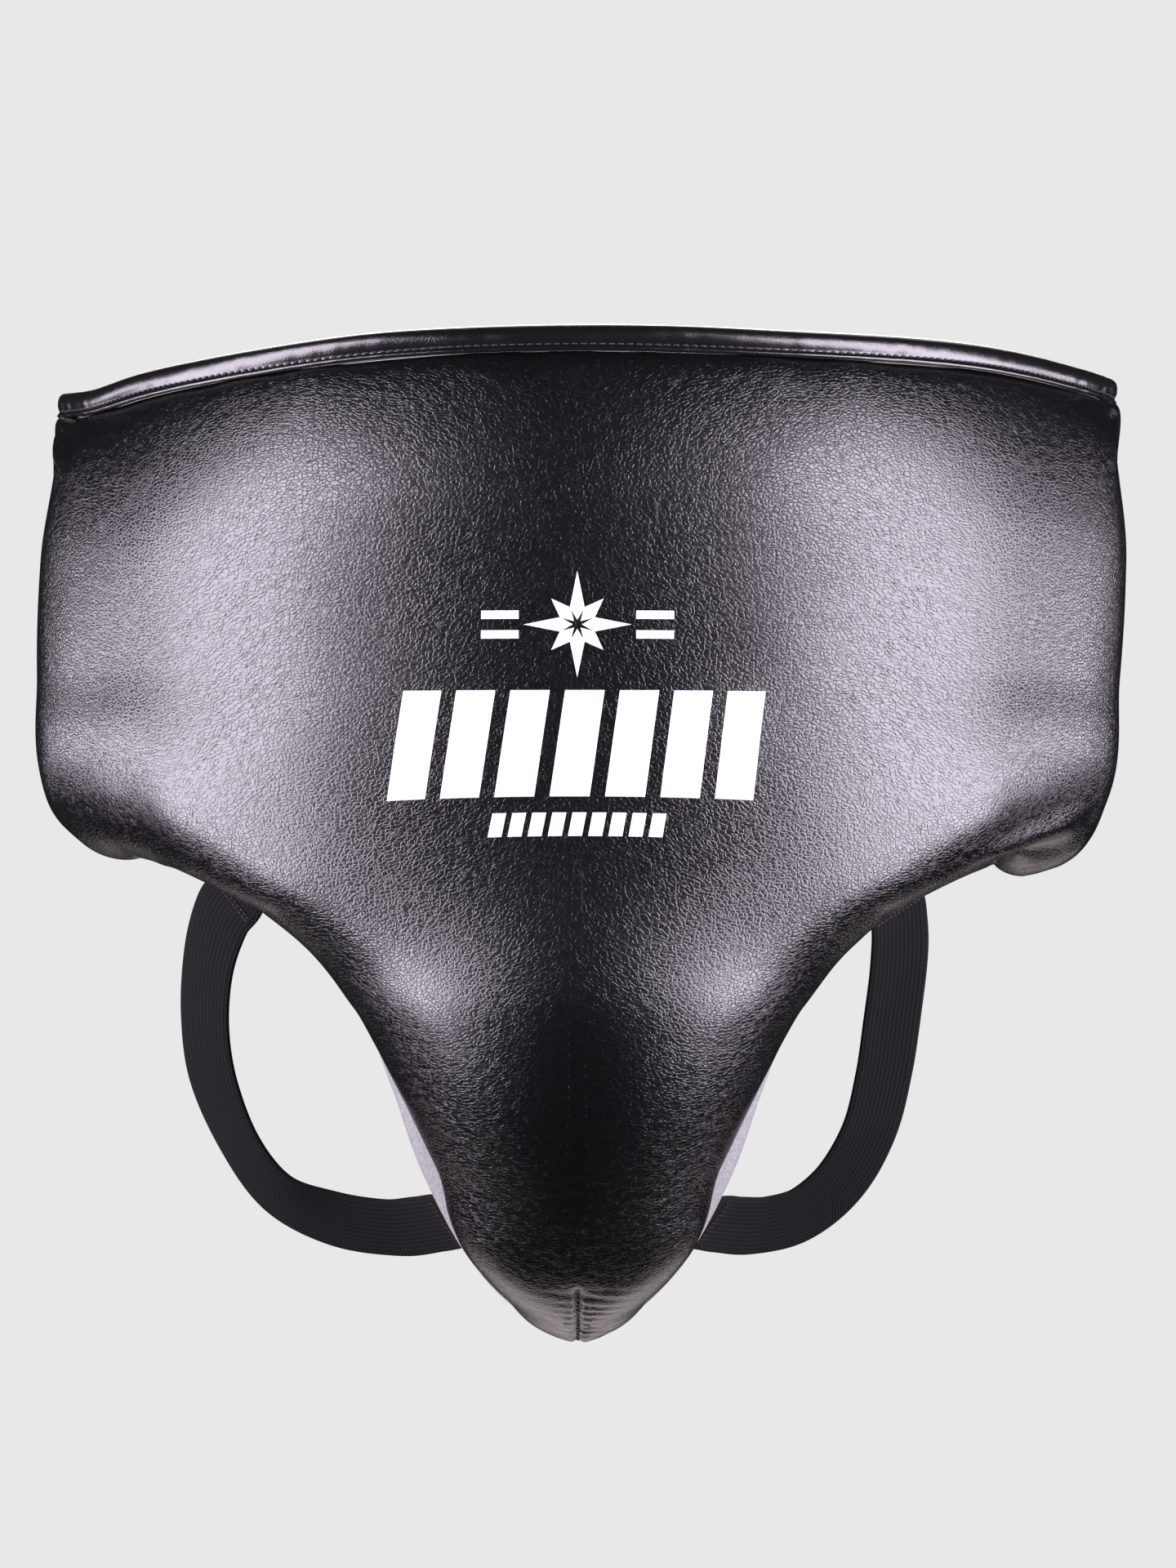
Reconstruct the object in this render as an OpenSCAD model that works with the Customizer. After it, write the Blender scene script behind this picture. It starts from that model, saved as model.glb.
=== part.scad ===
// Abdomen and groin guard for boxing: a padded leather shell with a hard cup inside, an elastic
// waist belt that closes with hook and loop at the back, and two elastic leg straps.
// Millimetres, +Z up. The front faces -Y, and the wearer's left is +X. The origin is the centre
// of the waist opening, at the height of the waist curve of the shell.

/* [Shell] */
// Half width of the waist curve that the shell follows
waist_half_w = 190; // [186:1:194]
// Depth of the waist curve, from the front to the wing ends
waist_depth = 122; // [118:1:126]
// Padding thickness over the abdomen
pad_t = 25; // [23:1:27]
// Thickness of the leather cover
cover_t = 1.2; // [1:0.1:1.4]
// Thickness of the lining fabric
lining_t = 1.0; // [0.8:0.1:1.1]
// Inset over which the padding rolls off to its seam
roll = 30; // [26:1:32]
// Height of the seam above the lining side
seam_t = 5; // [4.6:0.1:5.4]
// How much higher the seam runs under the top binding
seam_rise = 6; // [5:0.5:7]

/* [Top binding] */
// Height of the rolled binding along the waist edge
binding_h = 9; // [8:0.5:10]
// Thickness of the rolled binding
binding_w = 6; // [5.6:0.1:6.4]

/* [Cup] */
// Half width of the hard cup
cup_half_w = 39; // [36:1:40]
// Half height of the hard cup
cup_half_h = 57; // [52:1:58]
// Wall of the hard cup
cup_wall = 2.8; // [2.4:0.1:3]
// Depth of the dome that the cup adds behind the shell
dome_depth = 9; // [6:1:10]

/* [Waist belt] */
// Height of the elastic belt
belt_h = 90; // [80:1:96]
// Thickness of the elastic belt
belt_t = 3; // [2.6:0.1:3]
// Depth of the belt behind the wing ends
belt_depth = 110; // [95:1:120]

/* [Leg straps] */
// Width of the elastic tape
tape_w = 25; // [22:1:26]
// Thickness of the elastic tape
tape_t = 1.8; // [1.5:0.1:2]

/* [Hidden] */

LEATHER = [0.11, 0.10, 0.12];
FOAM = [0.86, 0.84, 0.72];
THREAD = [0.05, 0.05, 0.05];
ELASTIC = [0.07, 0.07, 0.08];

// Stations down the front centre line of the lining side:
// [distance from the top, y, z, half width, depth, thickness of the padding]
STATIONS = [
    [0, -116, 103, waist_half_w - 3, waist_depth, pad_t - 3],
    [60, -119, 43, waist_half_w, waist_depth, pad_t],
    [120, -121, -17, waist_half_w, waist_depth - 1, pad_t + 1],
    [160, -123, -57, waist_half_w - 6, waist_depth - 7, pad_t + 2],
    [200, -124, -97, 133, 88, pad_t + 3],
    [240, -121, -137, 86, 62, pad_t + 4],
    [280, -112, -176, 66, 50, pad_t + 4],
    [315, -97, -209, 55, 42, pad_t + 3],
    [345, -77, -232, 46, 34, pad_t + 2],
    [375, -51, -249, 38, 26, pad_t - 1],
    [405, -22, -257, 30, 18, pad_t - 5]];

// The waist edge hangs a little askew: [distance round, distance down]
TOP_LINE = [[-208, 16], [-173, 18], [-142, 15], [-100, 11], [-60, 7.2], [0, 5.3], [60, 6.2],
    [120, 6.8], [172, 10], [208, 11]];
BINDING_DROP = 5;   // from the middle of the binding down to the seam
// The seam line down one side, from the wing's top to the tip: [distance round, distance down]
SIDE_LINE = [[208, 34], [210, 60], [211, 95], [210, 130], [207, 156], [201, 171], [188, 178],
    [160, 182], [135, 188], [112, 201], [92, 220], [77, 245], [67, 275], [57, 308], [44, 338],
    [29, 366], [14, 388]];
TIP = [0, 398];

// Outlines of the inner pads, flat on the panel
ABDOMEN_OUTLINE = [[0, 26], [92, 28], [93, 110], [90, 178], [78, 200], [0, 203], [-78, 200],
    [-90, 178], [-93, 110], [-92, 28]];
HIP_OUTLINE = [[97, 28], [150, 31], [188, 38], [195, 60], [196, 95], [195, 130], [190, 152],
    [178, 162], [152, 165], [126, 172], [104, 184], [97, 186], [97, 110]];
HIP_CENTRE = [146, 105];
GROIN_OUTLINE = [[0, 208], [72, 208], [72, 236], [60, 262], [54, 290], [46, 320], [34, 348],
    [18, 370], [0, 380], [-18, 370], [-34, 348], [-46, 320], [-54, 290], [-60, 262],
    [-72, 236], [-72, 208]];

PANEL_CENTRE = [0, 120];
CUP_CENTRE = [0, 288];
GAP = 0.3;         // air between stacked layers
STEP = 14;         // spacing of points along a seam line
ROLL_RINGS = 6;    // rings over the roll of an edge
FACE_RINGS = 5;    // rings from the roll to the middle of a panel
LINING_ROLL = 8;   // inset over which the lining turns up to the seam
FOAM_EDGE = 2;     // ring of the roll where the front foam begins
FOAM_AIR = 2.0;    // air between the cover and the front foam
PAD_AIR = 1.0;     // extra air on each side of an inner pad
CUP_EDGE = 4;      // liner foam behind the cup
STAR_CENTRE = [0, 108];
EMBLEM_SQUEEZE = 0.75;  // panel width of the emblem over its width on the padded front
BINDING_END = 208; // distance round at which the binding is cut off
BAND_GAP = 6.4;    // how far the inner belt band runs inside the outer one
HOOK_T = 1.2;      // thickness of the hook tape
LOOP_T = 1.4;      // thickness of the loop pile

// ---- smooth curves ----
function secant(p, c, i) = (p[i + 1][c] - p[i][c]) / (p[i + 1][0] - p[i][0]);
function slope(p, c, i) = let (last = len(p) - 1)
    i == 0 ? secant(p, c, 0) : i == last ? secant(p, c, last - 1) :
    (secant(p, c, i - 1) * (p[i + 1][0] - p[i][0]) + secant(p, c, i) * (p[i][0] - p[i - 1][0]))
    / (p[i + 1][0] - p[i - 1][0]);
function interval(p, x, i = 0) = i >= len(p) - 2 || x < p[i + 1][0] ? i : interval(p, x, i + 1);
function hermite(a, b, ma, mb, t) =
    a * (1 + 2 * t) * pow(1 - t, 2) + b * t * t * (3 - 2 * t)
    + ma * t * pow(1 - t, 2) - mb * t * t * (1 - t);
function through(p, c, x) = let (i = interval(p, x), h = p[i + 1][0] - p[i][0])
    hermite(p[i][c], p[i + 1][c], slope(p, c, i) * h, slope(p, c, i + 1) * h, (x - p[i][0]) / h);
function unit(v) = v / norm(v);
function smooth(t) = let (u = max(0, min(1, t))) u * u * (3 - 2 * u);

// ---- the shell's surface ----
TABLES = [for (c = [1 : 5]) [for (v = [-16 : 4 : 420]) [v, through(STATIONS, c, v)]]];
function line_y(v) = lookup(v, TABLES[0]);
function line_z(v) = lookup(v, TABLES[1]);
function half_w(v) = lookup(v, TABLES[2]);
function depth(v) = lookup(v, TABLES[3]);
function padding(v) = lookup(v, TABLES[4]);
// How much wider the wearer's left wing stands than the right one, most at the waist
function widening(l, v) = l > 0 ? 1 + 0.04 * smooth((150 - v) / 140) : 1;
// A point of the lining side, from the distance round and the distance down
function base(l, v) = let (
    down = unit([line_y(v + 4) - line_y(v - 4), line_z(v + 4) - line_z(v - 4)]),
    turn = l / ((half_w(v) + depth(v)) / 2) * 180 / PI,
    back = depth(v) * (1 - cos(turn)))
    [half_w(v) * widening(l, v) * sin(turn), line_y(v) - down[1] * back, line_z(v) + down[0] * back];
function outward(l, v) =
    unit(cross(base(l, v + 4) - base(l, v - 4), base(l + 4, v) - base(l - 4, v)));
function on_shell(p, t) = base(p[0], p[1]) + outward(p[0], p[1]) * t;
function dome(p) = dome_depth * pow(max(0, 1 - pow((p[0] - CUP_CENTRE[0]) / (cup_half_w + 8), 2)
    - pow((p[1] - CUP_CENTRE[1]) / (cup_half_h + 10), 2)), 0.8);
function mid_t(p) = 0.46 * padding(p[1]);
function seam_h(p) = seam_t + seam_rise * smooth((60 - p[1]) / 50);

// ---- closed outlines on the panel ----
function corner_slope(a, b, c) = let (d = norm(b - a), e = norm(c - b))
    ((b - a) / d * e + (c - b) / e * d) / (d + e);
function rounded(p, step = STEP) = let (n = len(p)) [for (i = [0 : n - 1]) let (
    a = p[(i + n - 1) % n], b = p[i], c = p[(i + 1) % n], d = p[(i + 2) % n],
    h = norm(c - b), k = max(1, round(h / step)))
    for (j = [0 : k - 1])
        hermite(b, c, corner_slope(a, b, c) * h, corner_slope(b, c, d) * h, j / k)];
function straight(p, step = STEP) = let (n = len(p)) [for (i = [0 : n - 1]) let (
    b = p[i], c = p[(i + 1) % n], k = max(1, round(norm(c - b) / step)))
    for (j = [0 : k - 1]) b + (c - b) * j / k];
function ellipse(centre, a, b, n = 40) = [for (i = [0 : n - 1])
    centre + [a * sin(i * 360 / n), -b * cos(i * 360 / n)]];
// Outward direction at each point of an outline, smoothed over its neighbours
function outline_normals(p, reach = 3) = let (n = len(p)) [for (i = [0 : n - 1])
    let (s = [for (j = [-reach : reach]) let (
        d = p[(i + j + 1 + n) % n] - p[(i + j - 1 + n) % n])
        [-d[1], d[0]] * -cos(j * 90 / (reach + 1))])
    unit([for (k = [0 : 1]) let (sum = [for (e = s) 1] * [for (e = s) e[k]]) sum])];

function top_v(l) = through(TOP_LINE, 1, l);
// The wings' lower corners: one hangs lower, the other is pulled up
function corner_shift(l) = 3.5 * smooth((l - 165) / 30) - 3 * smooth((-l - 165) / 30);
function side_point(side, p) =
    [side * p[0], p[1] + (p[1] > 140 ? corner_shift(side * p[0]) : 0)];
TOP_PLACES = [40, 80, 120, 160, 190, 206];
SEAM = rounded(concat([[0, top_v(0) + BINDING_DROP]],
    [for (l = TOP_PLACES) [l, top_v(l) + BINDING_DROP]],
    [for (p = SIDE_LINE) side_point(1, p)], [TIP],
    [for (i = [len(SIDE_LINE) - 1 : -1 : 0]) side_point(-1, SIDE_LINE[i])],
    [for (i = [len(TOP_PLACES) - 1 : -1 : 0])
        [-TOP_PLACES[i], top_v(-TOP_PLACES[i]) + BINDING_DROP]]));
SEAM_OUT = outline_normals(SEAM);

// Rings of the padded front face, a constant depth inside it, from the first ring of the roll named
function front_rings(inside, first = 0) = concat(
    [for (k = [first : ROLL_RINGS]) let (a = k * 90 / ROLL_RINGS)
        [for (i = [0 : len(SEAM) - 1]) let (
            p = SEAM[i] - SEAM_OUT[i] * (inside + (roll - inside) * (1 - cos(a))),
            full = padding(p[1]) - inside, edge = seam_h(SEAM[i]))
            on_shell(p, edge + (full - edge) * sin(a))]],
    [for (k = [1 : FACE_RINGS]) let (r = k / (FACE_RINGS + 0.6))
        [for (i = [0 : len(SEAM) - 1]) let (
            p = (SEAM[i] - SEAM_OUT[i] * roll) * (1 - r) + PANEL_CENTRE * r)
            on_shell(p, padding(p[1]) - inside)]],
    [[on_shell(PANEL_CENTRE, padding(PANEL_CENTRE[1]) - inside)]]);

// Rings from an outline to its middle, at the height given by a function of the place; with
// crowd over 1 they stand closer together next to the outline
function flat_rings(outline, centre, height, rings, crowd = 1) = concat(
    [for (k = [0 : rings - 1]) let (r = pow(k / rings, crowd))
        [for (p = outline) let (q = p * (1 - r) + centre * r) on_shell(q, height(q))]],
    [[on_shell(centre, height(centre))]]);

// ---- solids from rings and sections ----
function flatten(list) = [for (a = list) for (b = a) b];
// A closed solid between two stacks of rings that end in one point each
module solid_of_rings(front, back) {
    n = len(front[0]);
    f = len(front) - 1;
    b = len(back) - 1;
    start = f * n + 1;
    faces = concat(
        [for (k = [0 : f - 2]) for (i = [0 : n - 1]) let (j = (i + 1) % n)
            [k * n + i, k * n + j, (k + 1) * n + j]],
        [for (k = [0 : f - 2]) for (i = [0 : n - 1]) let (j = (i + 1) % n)
            [k * n + i, (k + 1) * n + j, (k + 1) * n + i]],
        [for (i = [0 : n - 1]) [(f - 1) * n + i, (f - 1) * n + (i + 1) % n, f * n]],
        [for (k = [0 : b - 2]) for (i = [0 : n - 1]) let (j = (i + 1) % n)
            [start + k * n + j, start + k * n + i, start + (k + 1) * n + j]],
        [for (k = [0 : b - 2]) for (i = [0 : n - 1]) let (j = (i + 1) % n)
            [start + (k + 1) * n + j, start + k * n + i, start + (k + 1) * n + i]],
        [for (i = [0 : n - 1])
            [start + (b - 1) * n + (i + 1) % n, start + (b - 1) * n + i, start + b * n]],
        [for (i = [0 : n - 1]) let (j = (i + 1) % n) [j, i, start + i]],
        [for (i = [0 : n - 1]) let (j = (i + 1) % n) [j, start + i, start + j]]);
    polyhedron(flatten(concat(front, back)), faces);
}

// A closed ring-shaped solid: loops of section points, joined one to the next and back round
module solid_of_loops(loops) {
    n = len(loops[0]);
    m = len(loops);
    faces = [for (k = [0 : m - 1]) for (i = [0 : n - 1]) let (
        j = (i + 1) % n, a = k * n, b = ((k + 1) % m) * n)
        for (t = [[a + i, b + j, a + j], [a + i, b + i, b + j]]) t];
    polyhedron(flatten(loops), faces);
}

// A bar swept through sections; a section's first half runs out and its second half runs back
module sweep(sections) {
    n = len(sections[0]);
    m = len(sections) - 1;
    faces = concat(
        [for (k = [0 : m - 1]) for (i = [0 : n - 1]) let (j = (i + 1) % n)
            for (t = [[k * n + i, k * n + j, (k + 1) * n + j],
                      [k * n + i, (k + 1) * n + j, (k + 1) * n + i]]) t],
        [for (i = [0 : n / 2 - 2]) for (t = [[i, n - 1 - i, n - 2 - i], [i, n - 2 - i, i + 1]]) t],
        [for (i = [0 : n / 2 - 2]) for (t = [[i, n - 2 - i, n - 1 - i], [i, i + 1, n - 2 - i]])
            [for (e = t) m * n + e]]);
    polyhedron(flatten(sections), faces);
}

// A thread stitch from one point to another
module stitch(a, b, r = 0.45) {
    d = b - a;
    translate(a) rotate([0, acos(d[2] / norm(d)), atan2(d[1], d[0])])
        cylinder(r = r, h = norm(d), $fn = 16);
}

// ---- leather cover, lining and foam ----
module front_cover() {
    color(LEATHER) solid_of_rings(front_rings(0), front_rings(cover_t));
}

// Rings of the lining: up the turned edge, then across to the middle
function lining_rings(t) = concat(
    [for (r = [0.05, 0.35, 0.7, 1]) [for (i = [0 : len(SEAM) - 1]) let (
        h = seam_h(SEAM[i]),
        p = SEAM[i] - SEAM_OUT[i] * r * (LINING_ROLL + h - seam_t))
        on_shell(p, (h - GAP) * pow(1 - r, 2) - (r < 0.1 ? lining_t : 0) + dome(p) + t)]],
    [[for (i = [0 : len(SEAM) - 1]) let (p = SEAM[i] - SEAM_OUT[i] * 20) on_shell(p, dome(p) + t)]],
    [for (r = [0.18, 0.4, 0.62, 0.84]) [for (i = [0 : len(SEAM) - 1]) let (
        p = (SEAM[i] - SEAM_OUT[i] * 20) * (1 - r) + PANEL_CENTRE * r)
        on_shell(p, dome(p) + t)]],
    [[on_shell(PANEL_CENTRE, t)]]);

module back_lining() {
    color([0.16, 0.16, 0.18]) solid_of_rings(lining_rings(lining_t), lining_rings(0));
}

// Height of the lining, liner, cup and air over the dome
CUP_STACK = lining_t + CUP_EDGE + cup_wall + 1.8;
function foam_back_height(p) = PAD_AIR + max(mid_t(p), dome(p) > 0.2 ? dome(p) + CUP_STACK : 0);
module front_foam() {
    front = front_rings(cover_t + FOAM_AIR, FOAM_EDGE);
    rim = [for (i = [0 : len(SEAM) - 1]) SEAM[i] - SEAM_OUT[i]
        * (cover_t + FOAM_AIR + (roll - cover_t) * (1 - cos(FOAM_EDGE * 90 / ROLL_RINGS)))];
    color(FOAM) solid_of_rings(front,
        flat_rings(rim, PANEL_CENTRE, function (p) foam_back_height(p), 12, 1.25));
}

// An inner pad between the lining and the front foam
module inner_pad(outline, centre, rings) {
    layout = straight(outline, 14);
    color(FOAM * 0.92) solid_of_rings(
        flat_rings(layout, centre, function (p) mid_t(p) - PAD_AIR, rings),
        flat_rings(layout, centre, function (p) lining_t + PAD_AIR, rings));
}

module abdomen_pad() {
    inner_pad(ABDOMEN_OUTLINE, [0, 112], 6);
}

module hip_pad_left() {
    inner_pad(HIP_OUTLINE, HIP_CENTRE, 4);
}

module hip_pad_right() {
    inner_pad([for (i = [len(HIP_OUTLINE) - 1 : -1 : 0]) [-HIP_OUTLINE[i][0], HIP_OUTLINE[i][1]]],
        [-HIP_CENTRE[0], HIP_CENTRE[1]], 4);
}

// The pad around the cup, as loops that run out over the front and back behind
module groin_pad() {
    n = 44;
    outer = [for (i = [0 : n - 1]) let (a = i * 360 / n) ray_hit(GROIN_OUTLINE, CUP_CENTRE, a)];
    inner = ellipse(CUP_CENTRE, cup_half_w + 6, cup_half_h + 6, n);
    loops = [for (i = [0 : n - 1]) let (
        across = [for (r = [0, 0.5, 1]) inner[i] * (1 - r) + outer[i] * r])
        concat([for (p = across) on_shell(p, mid_t(p) - 2 * PAD_AIR)],
            [for (k = [2 : -1 : 0]) on_shell(across[k], lining_t + 2 * PAD_AIR + dome(across[k]))])];
    color(FOAM * 0.92) solid_of_loops(loops);
}

// Where a ray from a centre, turned from straight up, leaves an outline
function ray_hit(p, c, a) = let (n = len(p), d = [sin(a), -cos(a)],
    hits = [for (i = [0 : n - 1]) let (
        u = p[i] - c, w = p[(i + 1) % n] - p[i],
        k = d[0] * w[1] - d[1] * w[0])
        if (abs(k) > 1e-6) let (
            s = (u[0] * w[1] - u[1] * w[0]) / k,
            t = (u[0] * d[1] - u[1] * d[0]) / k)
            if (s > 0 && t >= -1e-6 && t <= 1 + 1e-6) s])
    c + d * min(hits);

// ---- cup ----
function cup_height(p) = dome(p) + lining_t + CUP_EDGE + GAP;
module hard_cup() {
    outline = ellipse(CUP_CENTRE, cup_half_w, cup_half_h);
    color([0.93, 0.93, 0.91]) solid_of_rings(
        flat_rings(outline, CUP_CENTRE, function (p) cup_height(p) + cup_wall, 6),
        flat_rings(outline, CUP_CENTRE, function (p) cup_height(p), 6));
}

module cup_rim() {
    n = 40;
    inner = ellipse(CUP_CENTRE, cup_half_w + GAP, cup_half_h + GAP, n);
    outer = ellipse(CUP_CENTRE, cup_half_w + 4, cup_half_h + 4, n);
    mid = [for (i = [0 : n - 1]) (inner[i] + outer[i]) / 2];
    loops = [for (i = [0 : n - 1]) let (t = cup_height(inner[i]))
        [on_shell(inner[i], t + cup_wall), on_shell(mid[i], t + cup_wall + 0.5),
         on_shell(outer[i], t + cup_wall - 0.8), on_shell(outer[i], t + 0.8),
         on_shell(mid[i], t - 0.5), on_shell(inner[i], t)]];
    color([0.2, 0.2, 0.22]) solid_of_loops(loops);
}

module cup_liner() {
    outline = ellipse(CUP_CENTRE, cup_half_w - 1, cup_half_h - 1);
    color([0.75, 0.78, 0.82]) solid_of_rings(
        flat_rings(outline, CUP_CENTRE, function (p) cup_height(p) - GAP, 5),
        flat_rings(outline, CUP_CENTRE, function (p) dome(p) + lining_t + GAP, 5));
}

// ---- top binding ----
function top_line(l) = [l, top_v(l)];
// The binding's section: a strip folded over the edge, open below
function binding_section(l) = let (
    c = top_line(l), w = binding_w / 2, h = binding_h / 2, wall = 1.3,
    outer = [[h, -w], [0, -w - 0.2], [-h + 1.6, -w], [-h, -w + 1.8], [-h, w - 1.8],
             [-h + 1.6, w], [0, w + 0.2], [h, w]],
    inner = [[h, w - wall], [0, w - wall], [-h + 2, w - wall], [-h + 1.6, w - 2.4],
             [-h + 1.6, 2.4 - w], [-h + 2, wall - w], [0, wall - w], [h, wall - w]])
    [for (e = concat(outer, inner)) on_shell(c + [0, e[0]], seam_h(c) + e[1])];

module top_binding() {
    color(LEATHER) sweep([for (l = [-BINDING_END : 8 : BINDING_END]) binding_section(l)]);
}

module binding_stitches() {
    color(THREAD) for (l = [6 - BINDING_END : 8 : BINDING_END - 10]) {
        h = [0, binding_h / 2 - 2];
        a = top_line(l);
        b = top_line(l + 4.5);
        off = binding_w / 2 + 0.75;
        stitch(on_shell(a + h, seam_h(a) + off), on_shell(b + h, seam_h(b) + off));
    }
}

// ---- emblem: a star of eight rays between short bars, over two rows of slanted blocks ----
// A thin printed patch between a left and a right edge, cut across into equal steps
module printed_patch(a, b, c, d, steps = 4) {
    t = 0.5;
    rows = [for (k = [0 : steps]) let (r = k / steps, p = a * (1 - r) + b * r, q = d * (1 - r) + c * r)
        [on_shell(p, padding(p[1]) + t), on_shell(q, padding(q[1]) + t),
         on_shell(q, padding(q[1]) + t + 0.3), on_shell(p, padding(p[1]) + t + 0.3)]];
    sweep(rows);
}

// One ray of the star: a kite that points away from the star's centre
module star_ray(angle, length) {
    d = [sin(angle) * EMBLEM_SQUEEZE, -cos(angle)];
    side = [cos(angle) * EMBLEM_SQUEEZE, sin(angle)];
    printed_patch(STAR_CENTRE + d * 1.6, STAR_CENTRE + d * 6 + side * 2.6,
        STAR_CENTRE + d * length, STAR_CENTRE + d * 6 - side * 2.6, 2);
}

// A row of equal slanted blocks between two distances down
module block_row(count, pitch, half_width, slant, top, bottom, steps) {
    for (k = [0 : count - 1]) {
        x = (k - (count - 1) / 2) * pitch;
        printed_patch([x + half_width + slant, top], [x - half_width + slant, top],
            [x - half_width - slant, bottom], [x + half_width - slant, bottom], steps);
    }
}

module front_emblem() {
    color("white") {
        for (k = [0 : 7]) star_ray(k * 45, k % 2 == 0 ? 19 : 13);
        for (side = [-1, 1]) for (top = [-5, 2])
            printed_patch(STAR_CENTRE + [side * 20.5 + 5, top], STAR_CENTRE + [side * 20.5 - 5, top],
                STAR_CENTRE + [side * 20.5 - 5, top + 3], STAR_CENTRE + [side * 20.5 + 5, top + 3], 2);
        block_row(7, 14.4, 5.2, 2, 131.5, 168.5, 2);
        block_row(9, 5.2, 1.8, 0.6, 174, 182, 1);
    }
}

// ---- stitches of the dart at the tip ----
module tip_dart_stitches() {
    color(THREAD) for (v = [345 : 5 : 385]) {
        t = seam_t + (padding(v) - seam_t) * sin(min(90, acos(max(0, 1 - (397 - v) / roll)))) + 0.7;
        stitch(on_shell([-1.6, v], t), on_shell([1.6, v + 0.8], t));
    }
}

// ---- waist belt ----
BELT_Y = -14;                 // hinge line of both bands
BELT_Z = 12;                  // middle of the belt
BELT_X = waist_half_w + 0.5;  // hinge line of a band
OVERLAP = 50;                 // half of the overlap behind the back
TAB_ROOT = 4;                 // where the closure tab leaves the outer band
// A point of the belt's path: angle from the wing's hinge round to the other one
function belt_xy(a, off) = let (
    p = [-BELT_X * cos(a), BELT_Y + belt_depth * sin(a)],
    n = unit([-belt_depth * cos(a), BELT_X * sin(a)])) p + n * off;
// A band between two angles: off gives the inner face's offset for an angle
module belt_strip(from, to, off, t, h, steps = 30, round_end = 0) {
    sweep([for (k = [0 : steps]) let (
        a = from + (to - from) * k / steps,
        left = (1 - k / steps) * norm(belt_xy(from, 0) - belt_xy(to, 0)),
        hh = left < round_end ? h / 2 - (round_end - sqrt(pow(round_end, 2)
            - pow(round_end - left, 2))) : h / 2,
        p = belt_xy(a, off(a)), q = belt_xy(a, off(a) + t))
        [[p[0], p[1], BELT_Z - hh], [p[0], p[1], BELT_Z + hh],
         [q[0], q[1], BELT_Z + hh], [q[0], q[1], BELT_Z - hh]]]);
}
// Angle of the belt's path where it passes an x
function belt_angle(x) = acos(-x / BELT_X);
function inner_off(a) = -BAND_GAP * smooth((a - 5) / 50);

module belt_root() {
    translate([-BELT_X, BELT_Y, BELT_Z - belt_h / 2]) cylinder(r = belt_t / 2, h = belt_h, $fn = 48);
}

module belt_band_outer() {
    color(ELASTIC) {
        belt_root();
        belt_strip(0.2, belt_angle(TAB_ROOT - 2.6), function (a) -belt_t / 2, belt_t, belt_h);
    }
}

module belt_band_inner() {
    color(ELASTIC) mirror([1, 0, 0]) {
        belt_root();
        belt_strip(0.2, belt_angle(OVERLAP), function (a) -belt_t / 2 + inner_off(a), belt_t,
            belt_h);
    }
}

// Loop pile on the outer face of the inner band
module loop_panel() {
    color([0.1, 0.1, 0.11]) mirror([1, 0, 0])
        belt_strip(belt_angle(-OVERLAP - 45), belt_angle(OVERLAP - 3),
            function (a) belt_t / 2 + inner_off(a) + 0.1, LOOP_T, belt_h - 8, 18);
}

module loop_panel_stitches() {
    color(THREAD) mirror([1, 0, 0]) for (z = [-1, 1]) for (x = [-OVERLAP - 38 : 9 : OVERLAP - 12]) {
        a = belt_angle(x);
        b = belt_angle(x + 5);
        p = belt_xy(a, belt_t / 2 + inner_off(a) + 1.8);
        q = belt_xy(b, belt_t / 2 + inner_off(b) + 1.8);
        zz = BELT_Z + z * (belt_h / 2 - 7);
        stitch([p[0], p[1], zz], [q[0], q[1], zz], 0.25);
    }
}

// Hook strip sewn inside the outer band, next to the tab
module hook_strip() {
    color([0.13, 0.13, 0.14]) belt_strip(belt_angle(-OVERLAP + 6), belt_angle(TAB_ROOT - 4),
        function (a) -belt_t / 2 - HOOK_T - 0.1, HOOK_T, belt_h - 14, 8);
}

TAB_H = 74;                   // height of the closure tab
TAB_END = 58;                 // x of the tab's rounded end
module closure_tab() {
    color(LEATHER) {
        translate(concat(belt_xy(belt_angle(TAB_ROOT), 0), [BELT_Z - TAB_H / 2]))
            cylinder(r = belt_t / 2, h = TAB_H, $fn = 48);
        belt_strip(belt_angle(TAB_ROOT + 0.5), belt_angle(TAB_END), function (a) -belt_t / 2,
            belt_t, TAB_H, 16, 14);
    }
}

module hook_panel() {
    color([0.13, 0.13, 0.14]) belt_strip(belt_angle(TAB_ROOT + 3), belt_angle(TAB_END - 7),
        function (a) -belt_t / 2 - HOOK_T - 0.1, HOOK_T, TAB_H - 12, 10, 10);
}

module tab_stitches() {
    color(THREAD) for (z = [-1, 1]) for (x = [TAB_ROOT + 4 : 7 : TAB_END - 14]) {
        p = belt_xy(belt_angle(x), belt_t / 2 + 0.5);
        q = belt_xy(belt_angle(x + 4), belt_t / 2 + 0.5);
        zz = BELT_Z + z * (TAB_H / 2 - 4);
        stitch([p[0], p[1], zz], [q[0], q[1], zz]);
    }
}

// A point of a wing's rear seam, on the side given by the sign
REAR_SEAM = [for (p = SIDE_LINE) if (p[1] <= 156) [p[1], p[0]]];
function seam_end(side, v) = let (p = [side * through(REAR_SEAM, 1, v), v]) on_shell(p, seam_h(p));
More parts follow.
